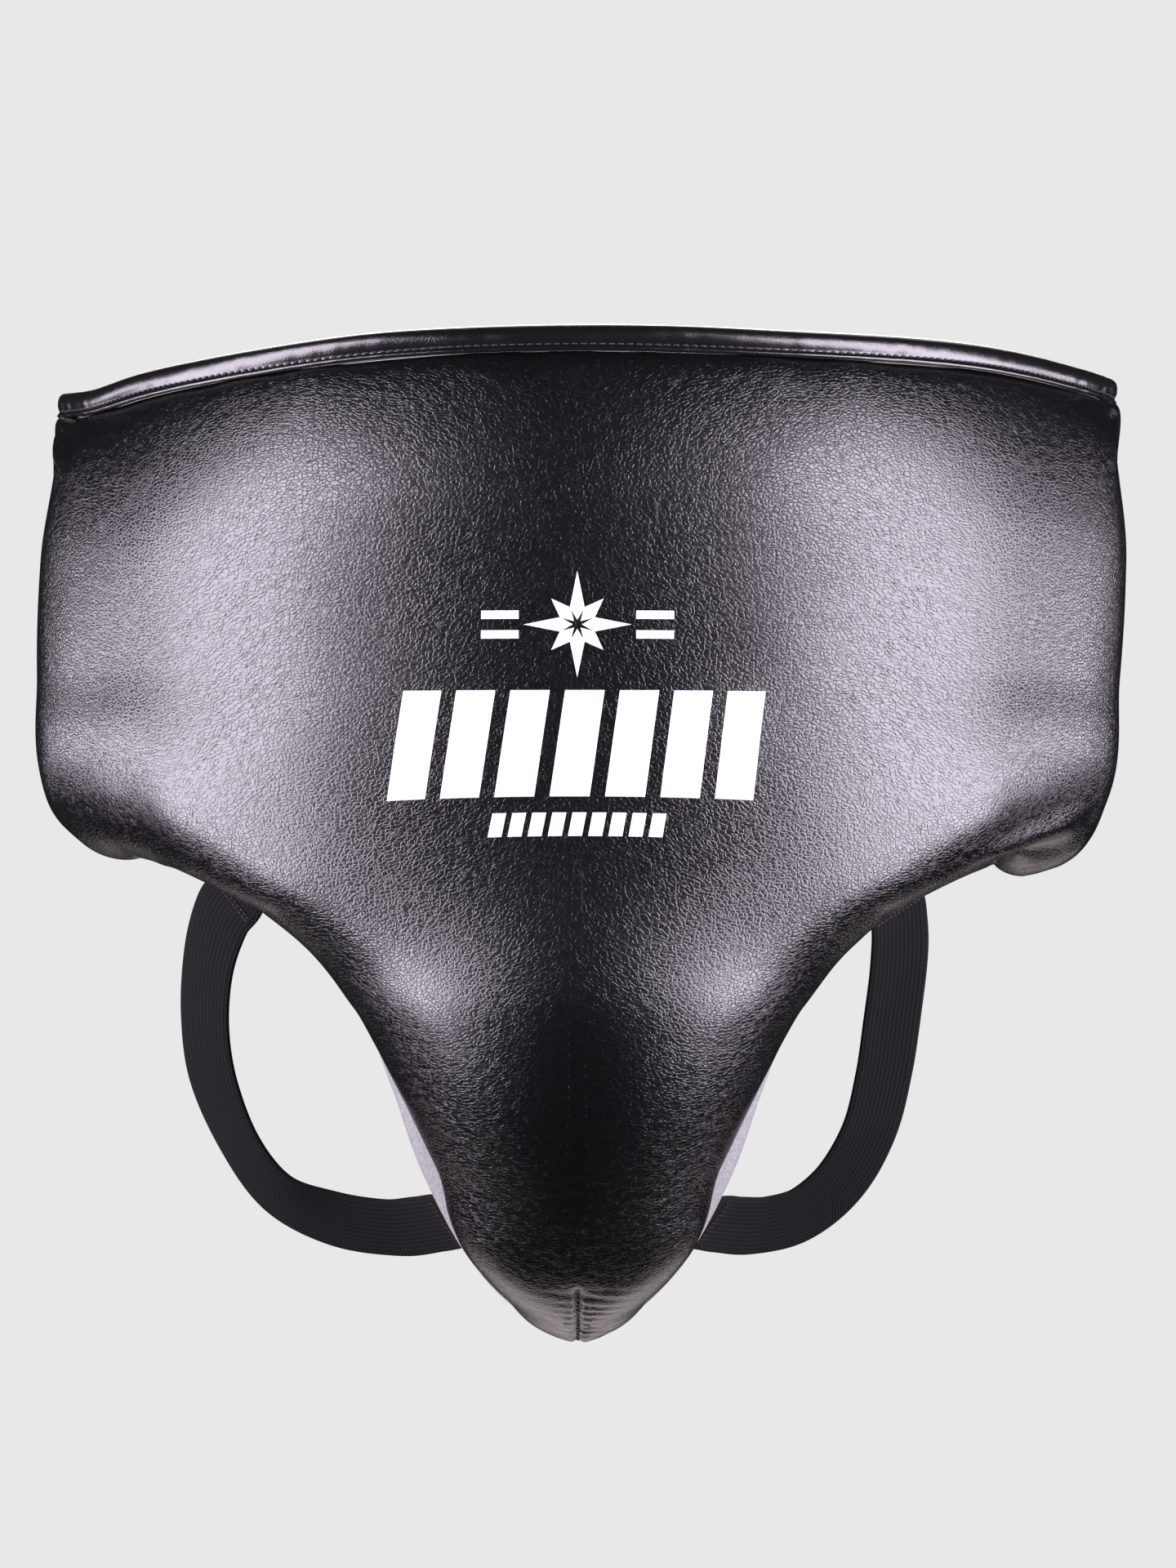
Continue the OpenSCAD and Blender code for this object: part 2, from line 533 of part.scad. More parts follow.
// The leather end of the belt, sewn along the wing's rear seam
module belt_anchor(side) {
    rear = BELT_Y - belt_t / 2 - 0.6;
    color(LEATHER) mirror([side > 0 ? 1 : 0, 0, 0]) sweep([for (v = [42 : 8 : 142]) let (
        e = seam_end(side, v), edge = e[1] + 1.4, x = -max(BELT_X, side * e[0] - 1))
        [[x - 1.5, edge, e[2]], [-BELT_X - 1.5, rear, e[2]],
         [-BELT_X + 1.5, rear, e[2]], [x + 1.5, edge, e[2]]]]);
}

module belt_anchor_right() {
    belt_anchor(-1);
}

module belt_anchor_left() {
    belt_anchor(1);
}

module belt_anchor_stitches() {
    color(THREAD) for (side = [-1, 1]) for (v = [46 : 7 : 130]) {
        e = seam_end(side, v);
        f = seam_end(side, v + 4);
        // the plate slants from the seam to the belt, so the thread lies outside the wider end
        x = side * (max(BELT_X, side * e[0] - 1, side * f[0] - 1) + 2.1);
        stitch([x, e[1] + 3.5, e[2]], [x, f[1] + 3.5, f[2]]);
    }
}

// ---- leg straps ----
// Centre line of each strap from the wing to the tip, and the direction of its width
RIGHT_PATH = [[-124.5, -78, -99.5], [-131, -70, -108], [-137, -58, -125], [-139.5, -46, -148],
    [-137, -36, -172], [-127.5, -28, -196.5], [-113, -24, -215.5], [-92, -26, -224.5],
    [-70, -34, -227], [-56, -46, -224.5], [-45.5, -60, -222]];
RIGHT_WIDE = [[-0.8, 0.44, 0.4], [-0.8, 0.52, 0.3], [-0.75, 0.66, 0.1], [-0.72, 0.69, 0],
    [-0.72, 0.68, -0.1], [-0.56, 0.75, -0.3], [-0.4, 0.7, -0.58], [-0.15, 0.52, -0.84],
    [0.1, 0.47, -0.87], [0.3, 0.45, -0.84], [0.41, 0.44, -0.8]];
LEFT_PATH = [[116, -83, -103.5], [117.5, -76, -112], [118.2, -64, -126], [116.7, -52, -146],
    [114.2, -42, -168], [109.2, -34, -190], [98.8, -28, -209.5], [84, -28, -222],
    [68, -35, -225.5], [56, -47, -224], [47.5, -60, -222]];
LEFT_WIDE = [[0.8, 0.44, 0.42], [0.83, 0.48, 0.3], [0.86, 0.5, 0.1], [0.86, 0.5, 0],
    [0.84, 0.52, -0.1], [0.74, 0.56, -0.35], [0.5, 0.55, -0.66], [0.18, 0.5, -0.85],
    [-0.1, 0.46, -0.88], [-0.3, 0.45, -0.84], [-0.41, 0.44, -0.8]];

function along(p, s) = let (n = len(p) - 1, x = max(0, min(n - 1e-6, s)), i = floor(x))
    hermite(p[i], p[i + 1], (p[i + 1] - p[max(0, i - 1)]) / (i > 0 ? 2 : 1),
        (p[min(n, i + 2)] - p[i]) / (i < n - 1 ? 2 : 1), x - i);
// A tape along a path between two of its point numbers
module tape(path, wide, from, to, steps) {
    sweep([for (k = [0 : steps]) let (
        s = from + (to - from) * k / steps,
        c = along(path, s),
        d = unit(along(path, s + 0.05) - along(path, s - 0.05)),
        w0 = along(wide, s), w = unit(w0 - d * (w0 * d)), n = cross(d, w))
        [c - w * tape_w / 2 - n * tape_t / 2, c + w * tape_w / 2 - n * tape_t / 2,
         c + w * tape_w / 2 + n * tape_t / 2, c - w * tape_w / 2 + n * tape_t / 2]]);
}

FREE_FROM = 1.0;   // point number where the moving loop starts
FREE_TO = 9.25;    // point number where it ends
STUB_TO = 0.75;    // point number where the upper sewn end stops
STUB_FROM = 9.45;  // point number where the lower sewn end starts

module leg_strap_right() {
    color(ELASTIC) tape(RIGHT_PATH, RIGHT_WIDE, FREE_FROM, FREE_TO, 44);
}

module leg_strap_left() {
    color(ELASTIC) tape(LEFT_PATH, LEFT_WIDE, FREE_FROM, FREE_TO, 44);
}

module strap_anchor_right() {
    color(ELASTIC) {
        tape(RIGHT_PATH, RIGHT_WIDE, 0.1, STUB_TO, 3);
        tape(RIGHT_PATH, RIGHT_WIDE, STUB_FROM, 10, 3);
    }
}

module strap_anchor_left() {
    color(ELASTIC) {
        tape(LEFT_PATH, LEFT_WIDE, 0.1, STUB_TO, 3);
        tape(LEFT_PATH, LEFT_WIDE, STUB_FROM, 10, 3);
    }
}

// Rows of thread across each sewn strap end
module bartack(path, wide, s) {
    c = along(path, s);
    d = unit(along(path, s + 0.05) - along(path, s - 0.05));
    w0 = along(wide, s);
    w = unit(w0 - d * (w0 * d));
    n = cross(d, w);
    for (k = [-4 : 3])
        stitch(c + n * (tape_t / 2 + 0.7) + w * k * 2.6, c + n * (tape_t / 2 + 0.7) + w * (k * 2.6 + 2));
}

module strap_bartacks() {
    color(THREAD) for (s = [0.35, 9.75]) {
        bartack(RIGHT_PATH, RIGHT_WIDE, s);
        bartack(LEFT_PATH, LEFT_WIDE, s);
    }
}

front_cover();
back_lining();
top_binding();
binding_stitches();
front_foam();
abdomen_pad();
hip_pad_right();
hip_pad_left();
groin_pad();
hard_cup();
cup_rim();
cup_liner();
front_emblem();
tip_dart_stitches();
belt_anchor_right();
belt_anchor_left();
belt_anchor_stitches();
strap_anchor_right();
strap_anchor_left();
strap_bartacks();
belt_band_outer();
hook_strip();
closure_tab();
hook_panel();
tab_stitches();
belt_band_inner();
loop_panel();
loop_panel_stitches();
leg_strap_right();
leg_strap_left();
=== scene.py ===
"""Looks of a boxing groin guard: padded leather shell, glossy top binding, elastic belt and leg straps.

Shapes are built in millimetres in the frame of the part and turned into metres when a mesh is made.
The shell is drawn flat as a panel, with a distance round and a distance down, and is then laid on the
curved surface that the part's own shell follows.
"""

import math

import bmesh
import bpy
import numpy as np
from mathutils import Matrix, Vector


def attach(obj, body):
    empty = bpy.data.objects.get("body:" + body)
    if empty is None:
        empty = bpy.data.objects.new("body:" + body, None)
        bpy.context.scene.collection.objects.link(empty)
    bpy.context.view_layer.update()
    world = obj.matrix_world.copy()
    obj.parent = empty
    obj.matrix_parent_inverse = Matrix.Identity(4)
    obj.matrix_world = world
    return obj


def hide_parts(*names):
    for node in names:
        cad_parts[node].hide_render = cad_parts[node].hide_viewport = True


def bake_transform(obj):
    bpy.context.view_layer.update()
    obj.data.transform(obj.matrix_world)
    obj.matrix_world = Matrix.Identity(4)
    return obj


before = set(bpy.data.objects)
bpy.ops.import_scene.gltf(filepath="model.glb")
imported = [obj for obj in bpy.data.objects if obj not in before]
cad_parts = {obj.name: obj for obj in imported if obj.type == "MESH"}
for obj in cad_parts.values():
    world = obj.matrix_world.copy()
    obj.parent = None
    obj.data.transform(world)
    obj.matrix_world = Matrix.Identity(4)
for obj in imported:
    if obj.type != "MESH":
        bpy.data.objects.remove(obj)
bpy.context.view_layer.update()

MM = 0.001

# ---------------------------------------------------------------- the shell's surface
# These lines follow the part's own, except that the seam runs up to 4 mm away from it round the
# wings' corners.
STATIONS = np.array([
    # down, y, z, half width, depth, padding
    [0, -116, 103, 187, 122, 22],
    [60, -119, 43, 190, 122, 25],
    [120, -121, -17, 190, 121, 26],
    [160, -123, -57, 184, 115, 27],
    [200, -124, -97, 133, 88, 28],
    [240, -121, -137, 86, 62, 29],
    [280, -112, -176, 66, 50, 29],
    [315, -97, -209, 55, 42, 28],
    [345, -77, -232, 46, 34, 27],
    [375, -51, -249, 38, 26, 24],
    [405, -22, -257, 30, 18, 20]], float)
TOP_LINE = np.array([
    # distance round, distance down: the waist edge hangs a little askew
    [-208, 16], [-173, 18], [-142, 15], [-100, 11], [-60, 7.2], [0, 5.3], [60, 6.2],
    [120, 6.8], [172, 10], [208, 11]], float)
BINDING_DROP = 5.0     # from the middle of the binding down to the seam
TOP_PLACES = np.array([40, 80, 120, 160, 190, 206], float)     # of the seam's points under it
SIDE_LINE = np.array([
    [206, 34], [208.5, 60], [211, 95], [210, 130], [206.5, 157], [202, 174], [191, 181],
    [160, 182], [135, 188], [112, 201], [92, 220], [77, 245], [67, 275], [57, 308], [44, 338],
    [29, 366], [14, 388]], float)
TIP = np.array([0.0, 398.0])
LEG_HALF = np.array([[p[1], p[0]] for p in SIDE_LINE if p[1] >= 182] + [[398, 0]], float)
SEAM_T = 5.0           # height of the seam above the lining side
SEAM_RISE = 6.0        # how much higher it runs under the binding
ROLL = 30.0            # inset over which the padding rolls off
SEAM_STEP = 2.4        # between the points of the seam, which are closer together at the tip
SEAM_FINE = 2.4        # how many times closer
FINE_FROM = 330        # down from which they are
NORMAL_REACH = 42.0    # along the seam, over which its outward direction is averaged
WAIST_END = 208.0      # distance round where the binding ends
FAR_INSIDE = 99.0      # an inset beyond every edge roll
PANEL_CENTRE = np.array([0.0, 120.0])
CUP_CENTRE = np.array([0.0, 288.0])
CUP_HALF = np.array([39.0, 57.0])
POCKET_HALF = CUP_HALF + [8, 10]     # where the hollow over the cup starts
DOME_DEPTH = 9.0       # how deep the hollow is


def unit(v):
    """Vectors of length one."""
    return v / np.linalg.norm(v, axis=-1, keepdims=True)


def smooth(t):
    """A soft step from 0 to 1."""
    t = np.clip(t, 0, 1)
    return t * t * (3 - 2 * t)


def through(points, column, x):
    """A smooth curve through the points, at x."""
    xs, ys = points[:, 0], points[:, column]
    x = np.asarray(x, float)
    gap = np.diff(xs)
    rise = np.diff(ys) / gap
    slope = np.empty_like(ys)
    slope[0], slope[-1] = rise[0], rise[-1]
    slope[1:-1] = (rise[:-1] * gap[1:] + rise[1:] * gap[:-1]) / (xs[2:] - xs[:-2])
    i = np.clip(np.searchsorted(xs, x, side="right") - 1, 0, len(xs) - 2)
    h = gap[i]
    t = (x - xs[i]) / h
    return (ys[i] * (1 + 2 * t) * (1 - t) ** 2 + ys[i + 1] * t * t * (3 - 2 * t)
            + h * (slope[i] * t * (1 - t) ** 2 - slope[i + 1] * t * t * (1 - t)))


def padding(down):
    """Thickness of the padded shell at a distance down."""
    return through(STATIONS, 5, down)


def widening(around, down):
    """How much wider the wearer's left wing stands than the right one, most at the waist."""
    return np.where(around > 0, 1 + 0.04 * smooth((150 - down) / 140), 1.0)


def base(p):
    """Points of the lining side, from panel points."""
    around, down = p[..., 0], p[..., 1]
    step = 1.0
    ty = through(STATIONS, 1, down + step) - through(STATIONS, 1, down - step)
    tz = through(STATIONS, 2, down + step) - through(STATIONS, 2, down - step)
    length = np.hypot(ty, tz)
    ty, tz = ty / length, tz / length
    half, depth = through(STATIONS, 3, down), through(STATIONS, 4, down)
    turn = around / ((half + depth) / 2)
    back = depth * (1 - np.cos(turn))
    x = half * widening(around, down) * np.sin(turn)
    return np.stack([x, through(STATIONS, 1, down) - tz * back, through(STATIONS, 2, down) + ty * back], -1)


def outward(p):
    """Directions out of the front at panel points."""
    e = np.array([1.0, 0.0])
    f = np.array([0.0, 1.0])
    return unit(np.cross(base(p + f) - base(p - f), base(p + e) - base(p - e)))


def on_shell(p, t):
    """Points at height t over panel points."""
    p = np.asarray(p, float)
    return base(p) + outward(p) * np.asarray(t, float)[..., None]


def seam_height(p):
    """Height of the edge seam over the lining side."""
    return SEAM_T + SEAM_RISE * smooth((60 - p[..., 1]) / 50)


def dome(p):
    """How far the cup's hollow sinks into the back."""
    r = ((p - CUP_CENTRE) / POCKET_HALF) ** 2
    return DOME_DEPTH * np.maximum(0, 1 - r.sum(-1)) ** 0.8


def closed_curve(points, fine=1.0):
    """A smooth closed curve through points, a step apart, or finer by a factor at the tip."""
    out = []
    n = len(points)
    for i in range(n):
        a, b, c, d = (points[(i + k) % n] for k in (-1, 0, 1, 2))
        before, length, after = (np.linalg.norm(v) for v in (b - a, c - b, d - c))
        m1 = ((b - a) / before * length + (c - b) / length * before) / (before + length) * length
        m2 = ((c - b) / length * after + (d - c) / after * length) / (length + after) * length
        times = fine if min(b[1], c[1]) > FINE_FROM else 1
        count = max(1, round(length / SEAM_STEP * times))
        for t in np.arange(count) / count:
            out.append(b * (1 + 2 * t) * (1 - t) ** 2 + c * t * t * (3 - 2 * t)
                       + m1 * t * (1 - t) ** 2 - m2 * t * t * (1 - t))
    return np.array(out)


def smoothed_normals(outline):
    """Directions across an outline, averaged over a reach along it."""
    ahead = np.roll(outline, -1, 0) - np.roll(outline, 1, 0)
    normal = np.stack([ahead[:, 1], -ahead[:, 0]], -1)
    gap = np.linalg.norm(np.roll(outline, -1, 0) - outline, axis=1)
    at = np.concatenate([[0], np.cumsum(gap)])
    total, at = at[-1], at[:-1]
    apart = np.abs(at[:, None] - at[None, :])
    apart = np.minimum(apart, total - apart)
    weight = np.where(apart < NORMAL_REACH, np.cos(apart / NORMAL_REACH * np.pi / 2), 0)
    return unit(weight @ normal)


def top_down(around):
    """How far down the middle of the binding runs."""
    return through(TOP_LINE, 1, around)


def side_points(side):
    """The seam's points down one side; one wing's lower corner hangs lower, the other is pulled up."""
    around, down = side * SIDE_LINE[:, 0], SIDE_LINE[:, 1]
    shift = 3.5 * smooth((around - 165) / 30) - 3 * smooth((-around - 165) / 30)
    return np.stack([around, down + np.where(down > 140, shift, 0)], -1)


def top_points(side):
    """The seam's points under the binding on one side."""
    around = side * TOP_PLACES
    return np.stack([around, top_down(around) + BINDING_DROP], -1)


SEAM_POINTS = np.concatenate([
    [[0, top_down(0) + BINDING_DROP]], top_points(1), side_points(1), [TIP],
    side_points(-1)[::-1], top_points(-1)[::-1]])
SEAM = closed_curve(SEAM_POINTS, SEAM_FINE)
SEAM_OUT = smoothed_normals(SEAM)
if np.mean(((SEAM - PANEL_CENTRE) * SEAM_OUT).sum(1)) < 0:
    SEAM_OUT = -SEAM_OUT
SEAM_AT = np.concatenate([[0], np.cumsum(np.linalg.norm(np.diff(SEAM, axis=0), axis=1))])


# ---------------------------------------------------------------- small waves in the leather
NOISE_CELLS = 64       # after which the noise repeats
GATHER_PITCH = 4.6     # from one gather at the dart to the next


def value_noise(x, y, seed):
    """Smooth noise from -1 to 1 with cells of size 1."""
    grid = np.random.default_rng(seed).uniform(-1, 1, (NOISE_CELLS, NOISE_CELLS))
    i, j = np.floor(x).astype(int), np.floor(y).astype(int)
    u, v = smooth(x - i), smooth(y - j)

    def corner(a, b):
        return grid[a % NOISE_CELLS, b % NOISE_CELLS]

    return ((corner(i, j) * (1 - u) + corner(i + 1, j) * u) * (1 - v)
            + (corner(i, j + 1) * (1 - u) + corner(i + 1, j + 1) * u) * v)


def ridge(p, a, b, width, taper=0.35):
    """1 along a line from a to b, fading to its sides and its ends."""
    a, b = np.array(a, float), np.array(b, float)
    d = b - a
    length = np.linalg.norm(d)
    d = d / length
    along = ((p - a) @ d) / length
    across = (p - a) @ np.array([-d[1], d[0]])
    ends = smooth(along / taper) * smooth((1 - along) / taper)
    return np.exp(-(across / width) ** 2) * ends


def rolled(inset, reach):
    """Height of a rolled edge, from 0 at the edge to 1 where the roll ends."""
    return np.sqrt(1 - (1 - np.clip(inset / reach, 0, 1)) ** 2)


def leather_relief(p, inset, at):
    """Height added to the cover: wider rolls, padding waves, puckers, the dart and the wing folds."""
    around, down = p[..., 0], p[..., 1]
    h = 0.5 * value_noise(around / 70, down / 70, 1) + 0.22 * value_noise(around / 28, down / 28, 2)
    # the waist edge rolls over wider than the rest, and so do the wings' lower edges
    from_top = down - top_down(np.clip(around, -WAIST_END, WAIST_END)) - BINDING_DROP
    wide = rolled(from_top, 58) - rolled(from_top, ROLL)
    h += 13 * wide * smooth((118 - down) / 60) * smooth((205 - np.abs(around)) / 70)
    from_bottom = 181 - down
    wide = rolled(from_bottom, 46) - rolled(from_bottom, ROLL)
    on_wing = smooth((200 - np.abs(around)) / 25)
    h += 14 * wide * smooth((down - 110) / 30) * on_wing * smooth((np.abs(around) - 118) / 25)
    # over the cup the section is rounder: a wide roll from each leg edge, a low ridge between them
    from_side = 0.9 * (through(LEG_HALF, 1, np.clip(down, 182, 398)) - np.abs(around))
    wide = rolled(from_side, 74) - rolled(from_side, ROLL)
    h += 22 * wide * smooth((down - 185) / 40) * smooth((345 - down) / 40)
    h += 6 * np.exp(-(around / 38) ** 2) * smooth((down - 190) / 50) * smooth((345 - down) / 110)
    # the padding thins towards the tip
    h -= 7 * smooth((down - 232) / 75) * smooth((396 - down) / 30)
    # puckers beside the binding and along the lower seam
    top = smooth((70 - down) / 40) * np.exp(-inset / 11)
    h += top * 0.9 * value_noise(around / 13 + 40, down / 60, 3)
    lower = smooth((down - 150) / 40) * np.exp(-inset / 7)
    h += lower * 0.35 * value_noise(at / 6, inset / 30, 4)
    # the dart up the tip and the gathers that it pulls
    reach = smooth((down - 338) / 6)
    h -= 1.5 * reach * np.exp(-(around / 1.0) ** 2)
    h -= 0.9 * reach * np.exp(-(around / 6.0) ** 2)
    side = np.where(around > 0, 1.0, 0.6)
    length = 5 + 3 * value_noise(down / GATHER_PITCH + 9, np.sign(around) * 3.3 + 5, 5)
    lean = 0.05 * np.abs(around) * np.where(around > 0, -1, 1)
    phase = down / GATHER_PITCH + lean + 0.25 * value_noise(down / 7, around / 20 + 7, 6)
    gather = np.abs(np.sin(np.pi * phase)) - 0.6
    h += side * reach * gather * np.exp(-np.abs(around) / length) * smooth(np.abs(around) / 1.2)
    # the fold over the left wing's lower corner, and thinner padding at both wings' top corners
    inside = smooth((inset - 1) / 9)
    h -= 4.2 * inside * ridge(p, [136, 184], [184, 168], 4.5, 0.5)
    h += 2.4 * inside * ridge(p, [116, 180], [182, 160], 3.4)
    h += 1.2 * inside * ridge(p, [176, 162], [200, 178], 5)
    h -= 3.2 * inside * smooth((78 - down) / 45) * smooth((np.abs(around) - 165) / 35)
    # small creases at three of the wings' corners
    h -= 1.8 * ridge(p, [-206, 162], [-186, 172], 4)
    h -= 1.0 * ridge(p, [-190, 14], [-176, 42], 4)
    h -= 1.4 * ridge(p, [192, 16], [196, 44], 4)
    return h


# ---------------------------------------------------------------- meshes
def make_object(name, verts, faces, material):
    """A mesh object from points in millimetres."""
    mesh = bpy.data.meshes.new(name)
    mesh.from_pydata((np.asarray(verts, float) * MM).tolist(), [], faces)
    mesh.validate()
    mesh.update()
    obj = bpy.data.objects.new(name, mesh)
    bpy.context.scene.collection.objects.link(obj)
    mesh.materials.append(material)
    mesh.polygons.foreach_set("use_smooth", [True] * len(mesh.polygons))
    return obj


def uv_by_point(obj, uv):
    """A UV map with one place per point, in the same order as the points."""
    layer = obj.data.uv_layers.new(name="panel")
    index = np.empty(len(obj.data.loops), int)
    obj.data.loops.foreach_get("vertex_index", index)
    layer.data.foreach_set("uv", np.asarray(uv, float)[index].ravel())


def grid_faces(rows, columns, closed_columns=False, closed_rows=False, flip=False):
    """Quads of a grid whose points run row by row."""
    faces = []
    for r in range(rows if closed_rows else rows - 1):
        for c in range(columns if closed_columns else columns - 1):
            a, b = r * columns + c, r * columns + (c + 1) % columns
            d, e = ((r + 1) % rows) * columns + c, ((r + 1) % rows) * columns + (c + 1) % columns
            faces.append((a, d, e, b) if flip else (a, b, e, d))
    return faces


def swept_bar(name, sections, material):
    """A closed bar through sections of the same number of points."""
    m, n = len(sections), len(sections[0])
    verts = np.concatenate(sections)
    faces = grid_faces(m, n, closed_columns=True)
    faces.append(tuple(range(n))[::-1])
    faces.append(tuple((m - 1) * n + i for i in range(n)))
    obj = make_object(name, verts, faces, material)
    fix_normals(obj)
    return obj


def fix_normals(obj):
    """Turns all faces outward."""
    bm = bmesh.new()
    bm.from_mesh(obj.data)
    bmesh.ops.recalc_face_normals(bm, faces=bm.faces)
    bm.to_mesh(obj.data)
    bm.free()


def join(name, objects):
    """One object out of several."""
    for o in bpy.context.selected_objects:
        o.select_set(False)
    for o in objects:
        o.select_set(True)
    bpy.context.view_layer.objects.active = objects[0]
    bpy.ops.object.join()
    objects[0].name = name
    return objects[0]


# ---------------------------------------------------------------- materials
MIX_FACTOR, MIX_A, MIX_B, MIX_RESULT = 0, 6, 7, 2     # sockets of a Mix node that mixes colours


def new_material(name):
    """A node material and its shader."""
    material = bpy.data.materials.new(name)
    material.use_nodes = True
    return material, material.node_tree, material.node_tree.nodes["Principled BSDF"]


def add(tree, kind, **settings):
    """A node with its settings; names that match sockets set their values."""
    node = tree.nodes.new(kind)
    for key, value in settings.items():
        if hasattr(node, key):
            setattr(node, key, value)
        else:
            node.inputs[key.replace("_", " ")].default_value = value
    return node


def link(tree, a, out, b, into):
    """Joins two sockets."""
    tree.links.new(a.outputs[out], b.inputs[into])


def ramp(tree, source, out, stops):
    """A colour ramp on a value."""
    node = tree.nodes.new("ShaderNodeValToRGB")
    link(tree, source, out, node, "Fac")
    node.color_ramp.elements[0].position, node.color_ramp.elements[0].color = stops[0]
    node.color_ramp.elements[1].position, node.color_ramp.elements[1].color = stops[-1]
    for place, colour in stops[1:-1]:
        node.color_ramp.elements.new(place).color = colour
    return node


def grey(v, tint=0.0):
    """A grey with a little violet."""
    return (v * (1 + tint), v, v * (1 + 2 * tint), 1)


def leather(name, colour, rough, grain_mm, depth):
    """Coated leather: a pebble of creased cells, with finer pores and uneven gloss; its colour is darkened
    in the creases as painted shade.
    """
    material, tree, shader = new_material(name)
    where = add(tree, "ShaderNodeTexCoord")
    warp = add(tree, "ShaderNodeTexNoise", Scale=260.0, Detail=3.0)
    link(tree, where, "Object", warp, "Vector")
    mix = add(tree, "ShaderNodeMix", data_type="RGBA", blend_type="LINEAR_LIGHT")
    mix.inputs[MIX_FACTOR].default_value = 0.0014
    link(tree, where, "Object", mix, MIX_A)
    link(tree, warp, "Color", mix, MIX_B)
    stretch = add(tree, "ShaderNodeMapping")
    stretch.inputs["Scale"].default_value = (0.72, 1.0, 1.25)
    link(tree, mix, MIX_RESULT, stretch, "Vector")
    cells = add(tree, "ShaderNodeTexVoronoi", feature="DISTANCE_TO_EDGE", Scale=1000.0 / grain_mm)
    link(tree, stretch, 0, cells, "Vector")
    crease = ramp(tree, cells, "Distance", [(0.0, (0, 0, 0, 1)), (0.14, (0.7, 0.7, 0.7, 1)),
                                            (0.45, (1, 1, 1, 1))])
    pores = add(tree, "ShaderNodeTexNoise", Scale=2600.0, Detail=4.0, Roughness=0.6)
    link(tree, where, "Object", pores, "Vector")
    lumps = add(tree, "ShaderNodeTexNoise", Scale=420.0, Detail=2.0)
    link(tree, where, "Object", lumps, "Vector")
    height = add(tree, "ShaderNodeMath", operation="MULTIPLY_ADD")
    height.inputs[1].default_value = 0.35
    link(tree, pores, "Fac", height, 0)
    link(tree, crease, "Color", height, 2)
    height2 = add(tree, "ShaderNodeMath", operation="MULTIPLY_ADD")
    height2.inputs[1].default_value = 0.45
    link(tree, lumps, "Fac", height2, 0)
    link(tree, height, 0, height2, 2)
    bump = add(tree, "ShaderNodeBump", Strength=1.0, Distance=depth)
    link(tree, height2, 0, bump, "Height")
    link(tree, bump, 0, shader, "Normal")
    patches = add(tree, "ShaderNodeTexNoise", Scale=9.0, Detail=4.0)
    link(tree, where, "Object", patches, "Vector")
    gloss = add(tree, "ShaderNodeMapRange")
    gloss.inputs["To Min"].default_value = rough - 0.05
    gloss.inputs["To Max"].default_value = rough + 0.05
    link(tree, patches, "Fac", gloss, "Value")
    link(tree, gloss, 0, shader, "Roughness")
    # painted shade: the colour darkens to about half in the creases between the grain's cells
    painted_crease_shade = tuple(c * 0.55 for c in colour[:3]) + (1,)
    tone = ramp(tree, crease, "Color", [(0.0, painted_crease_shade), (1.0, colour)])
    link(tree, tone, "Color", shader, "Base Color")
    shader.inputs["Specular IOR Level"].default_value = 0.5
    return material


def woven(name, colour, rib, cross, depth, sheen):
    """Woven tape: ribs along u and yarns across, counted per millimetre of the UV map; the colour is darker
    in the weave's grooves as painted shade.
    """
    material, tree, shader = new_material(name)
    where = add(tree, "ShaderNodeUVMap", uv_map="panel")
    split = add(tree, "ShaderNodeSeparateXYZ")
    link(tree, where, 0, split, 0)

    def wave(axis, per_mm):
        scaled = add(tree, "ShaderNodeMath", operation="MULTIPLY")
        scaled.inputs[1].default_value = per_mm * 2 * math.pi
        link(tree, split, axis, scaled, 0)
        sine = add(tree, "ShaderNodeMath", operation="SINE")
        link(tree, scaled, 0, sine, 0)
        return sine

    ribs, yarns = wave("X", rib), wave("Y", cross)
    weave = add(tree, "ShaderNodeMath", operation="MULTIPLY")
    link(tree, ribs, 0, weave, 0)
    link(tree, yarns, 0, weave, 1)
    both = add(tree, "ShaderNodeMath", operation="MULTIPLY_ADD")
    both.inputs[1].default_value = 0.7
    link(tree, ribs, 0, both, 0)
    link(tree, weave, 0, both, 2)
    fuzz = add(tree, "ShaderNodeTexNoise", Scale=2200.0, Detail=3.0)
    coords = add(tree, "ShaderNodeTexCoord")
    link(tree, coords, "Object", fuzz, "Vector")
    total = add(tree, "ShaderNodeMath", operation="ADD")
    link(tree, both, 0, total, 0)
    link(tree, fuzz, "Fac", total, 1)
    bump = add(tree, "ShaderNodeBump", Strength=0.8, Distance=depth)
    link(tree, total, 0, bump, "Height")
    link(tree, bump, 0, shader, "Normal")
    # painted shade: the colour is darker where the weave's height is low, in the grooves between ribs and
    # yarns
    low = tuple(c * 0.6 for c in colour[:3]) + (1,)
    tone = add(tree, "ShaderNodeMapRange")
    tone.inputs["From Min"].default_value = -1.2
    tone.inputs["From Max"].default_value = 2.2
    link(tree, total, 0, tone, "Value")
    shade = ramp(tree, tone, 0, [(0.0, low), (1.0, colour)])
    link(tree, shade, "Color", shader, "Base Color")
    shader.inputs["Roughness"].default_value = 0.85
    shader.inputs["Specular IOR Level"].default_value = 0.12
    shader.inputs["Sheen Weight"].default_value = sheen
    shader.inputs["Sheen Roughness"].default_value = 0.5
    return material


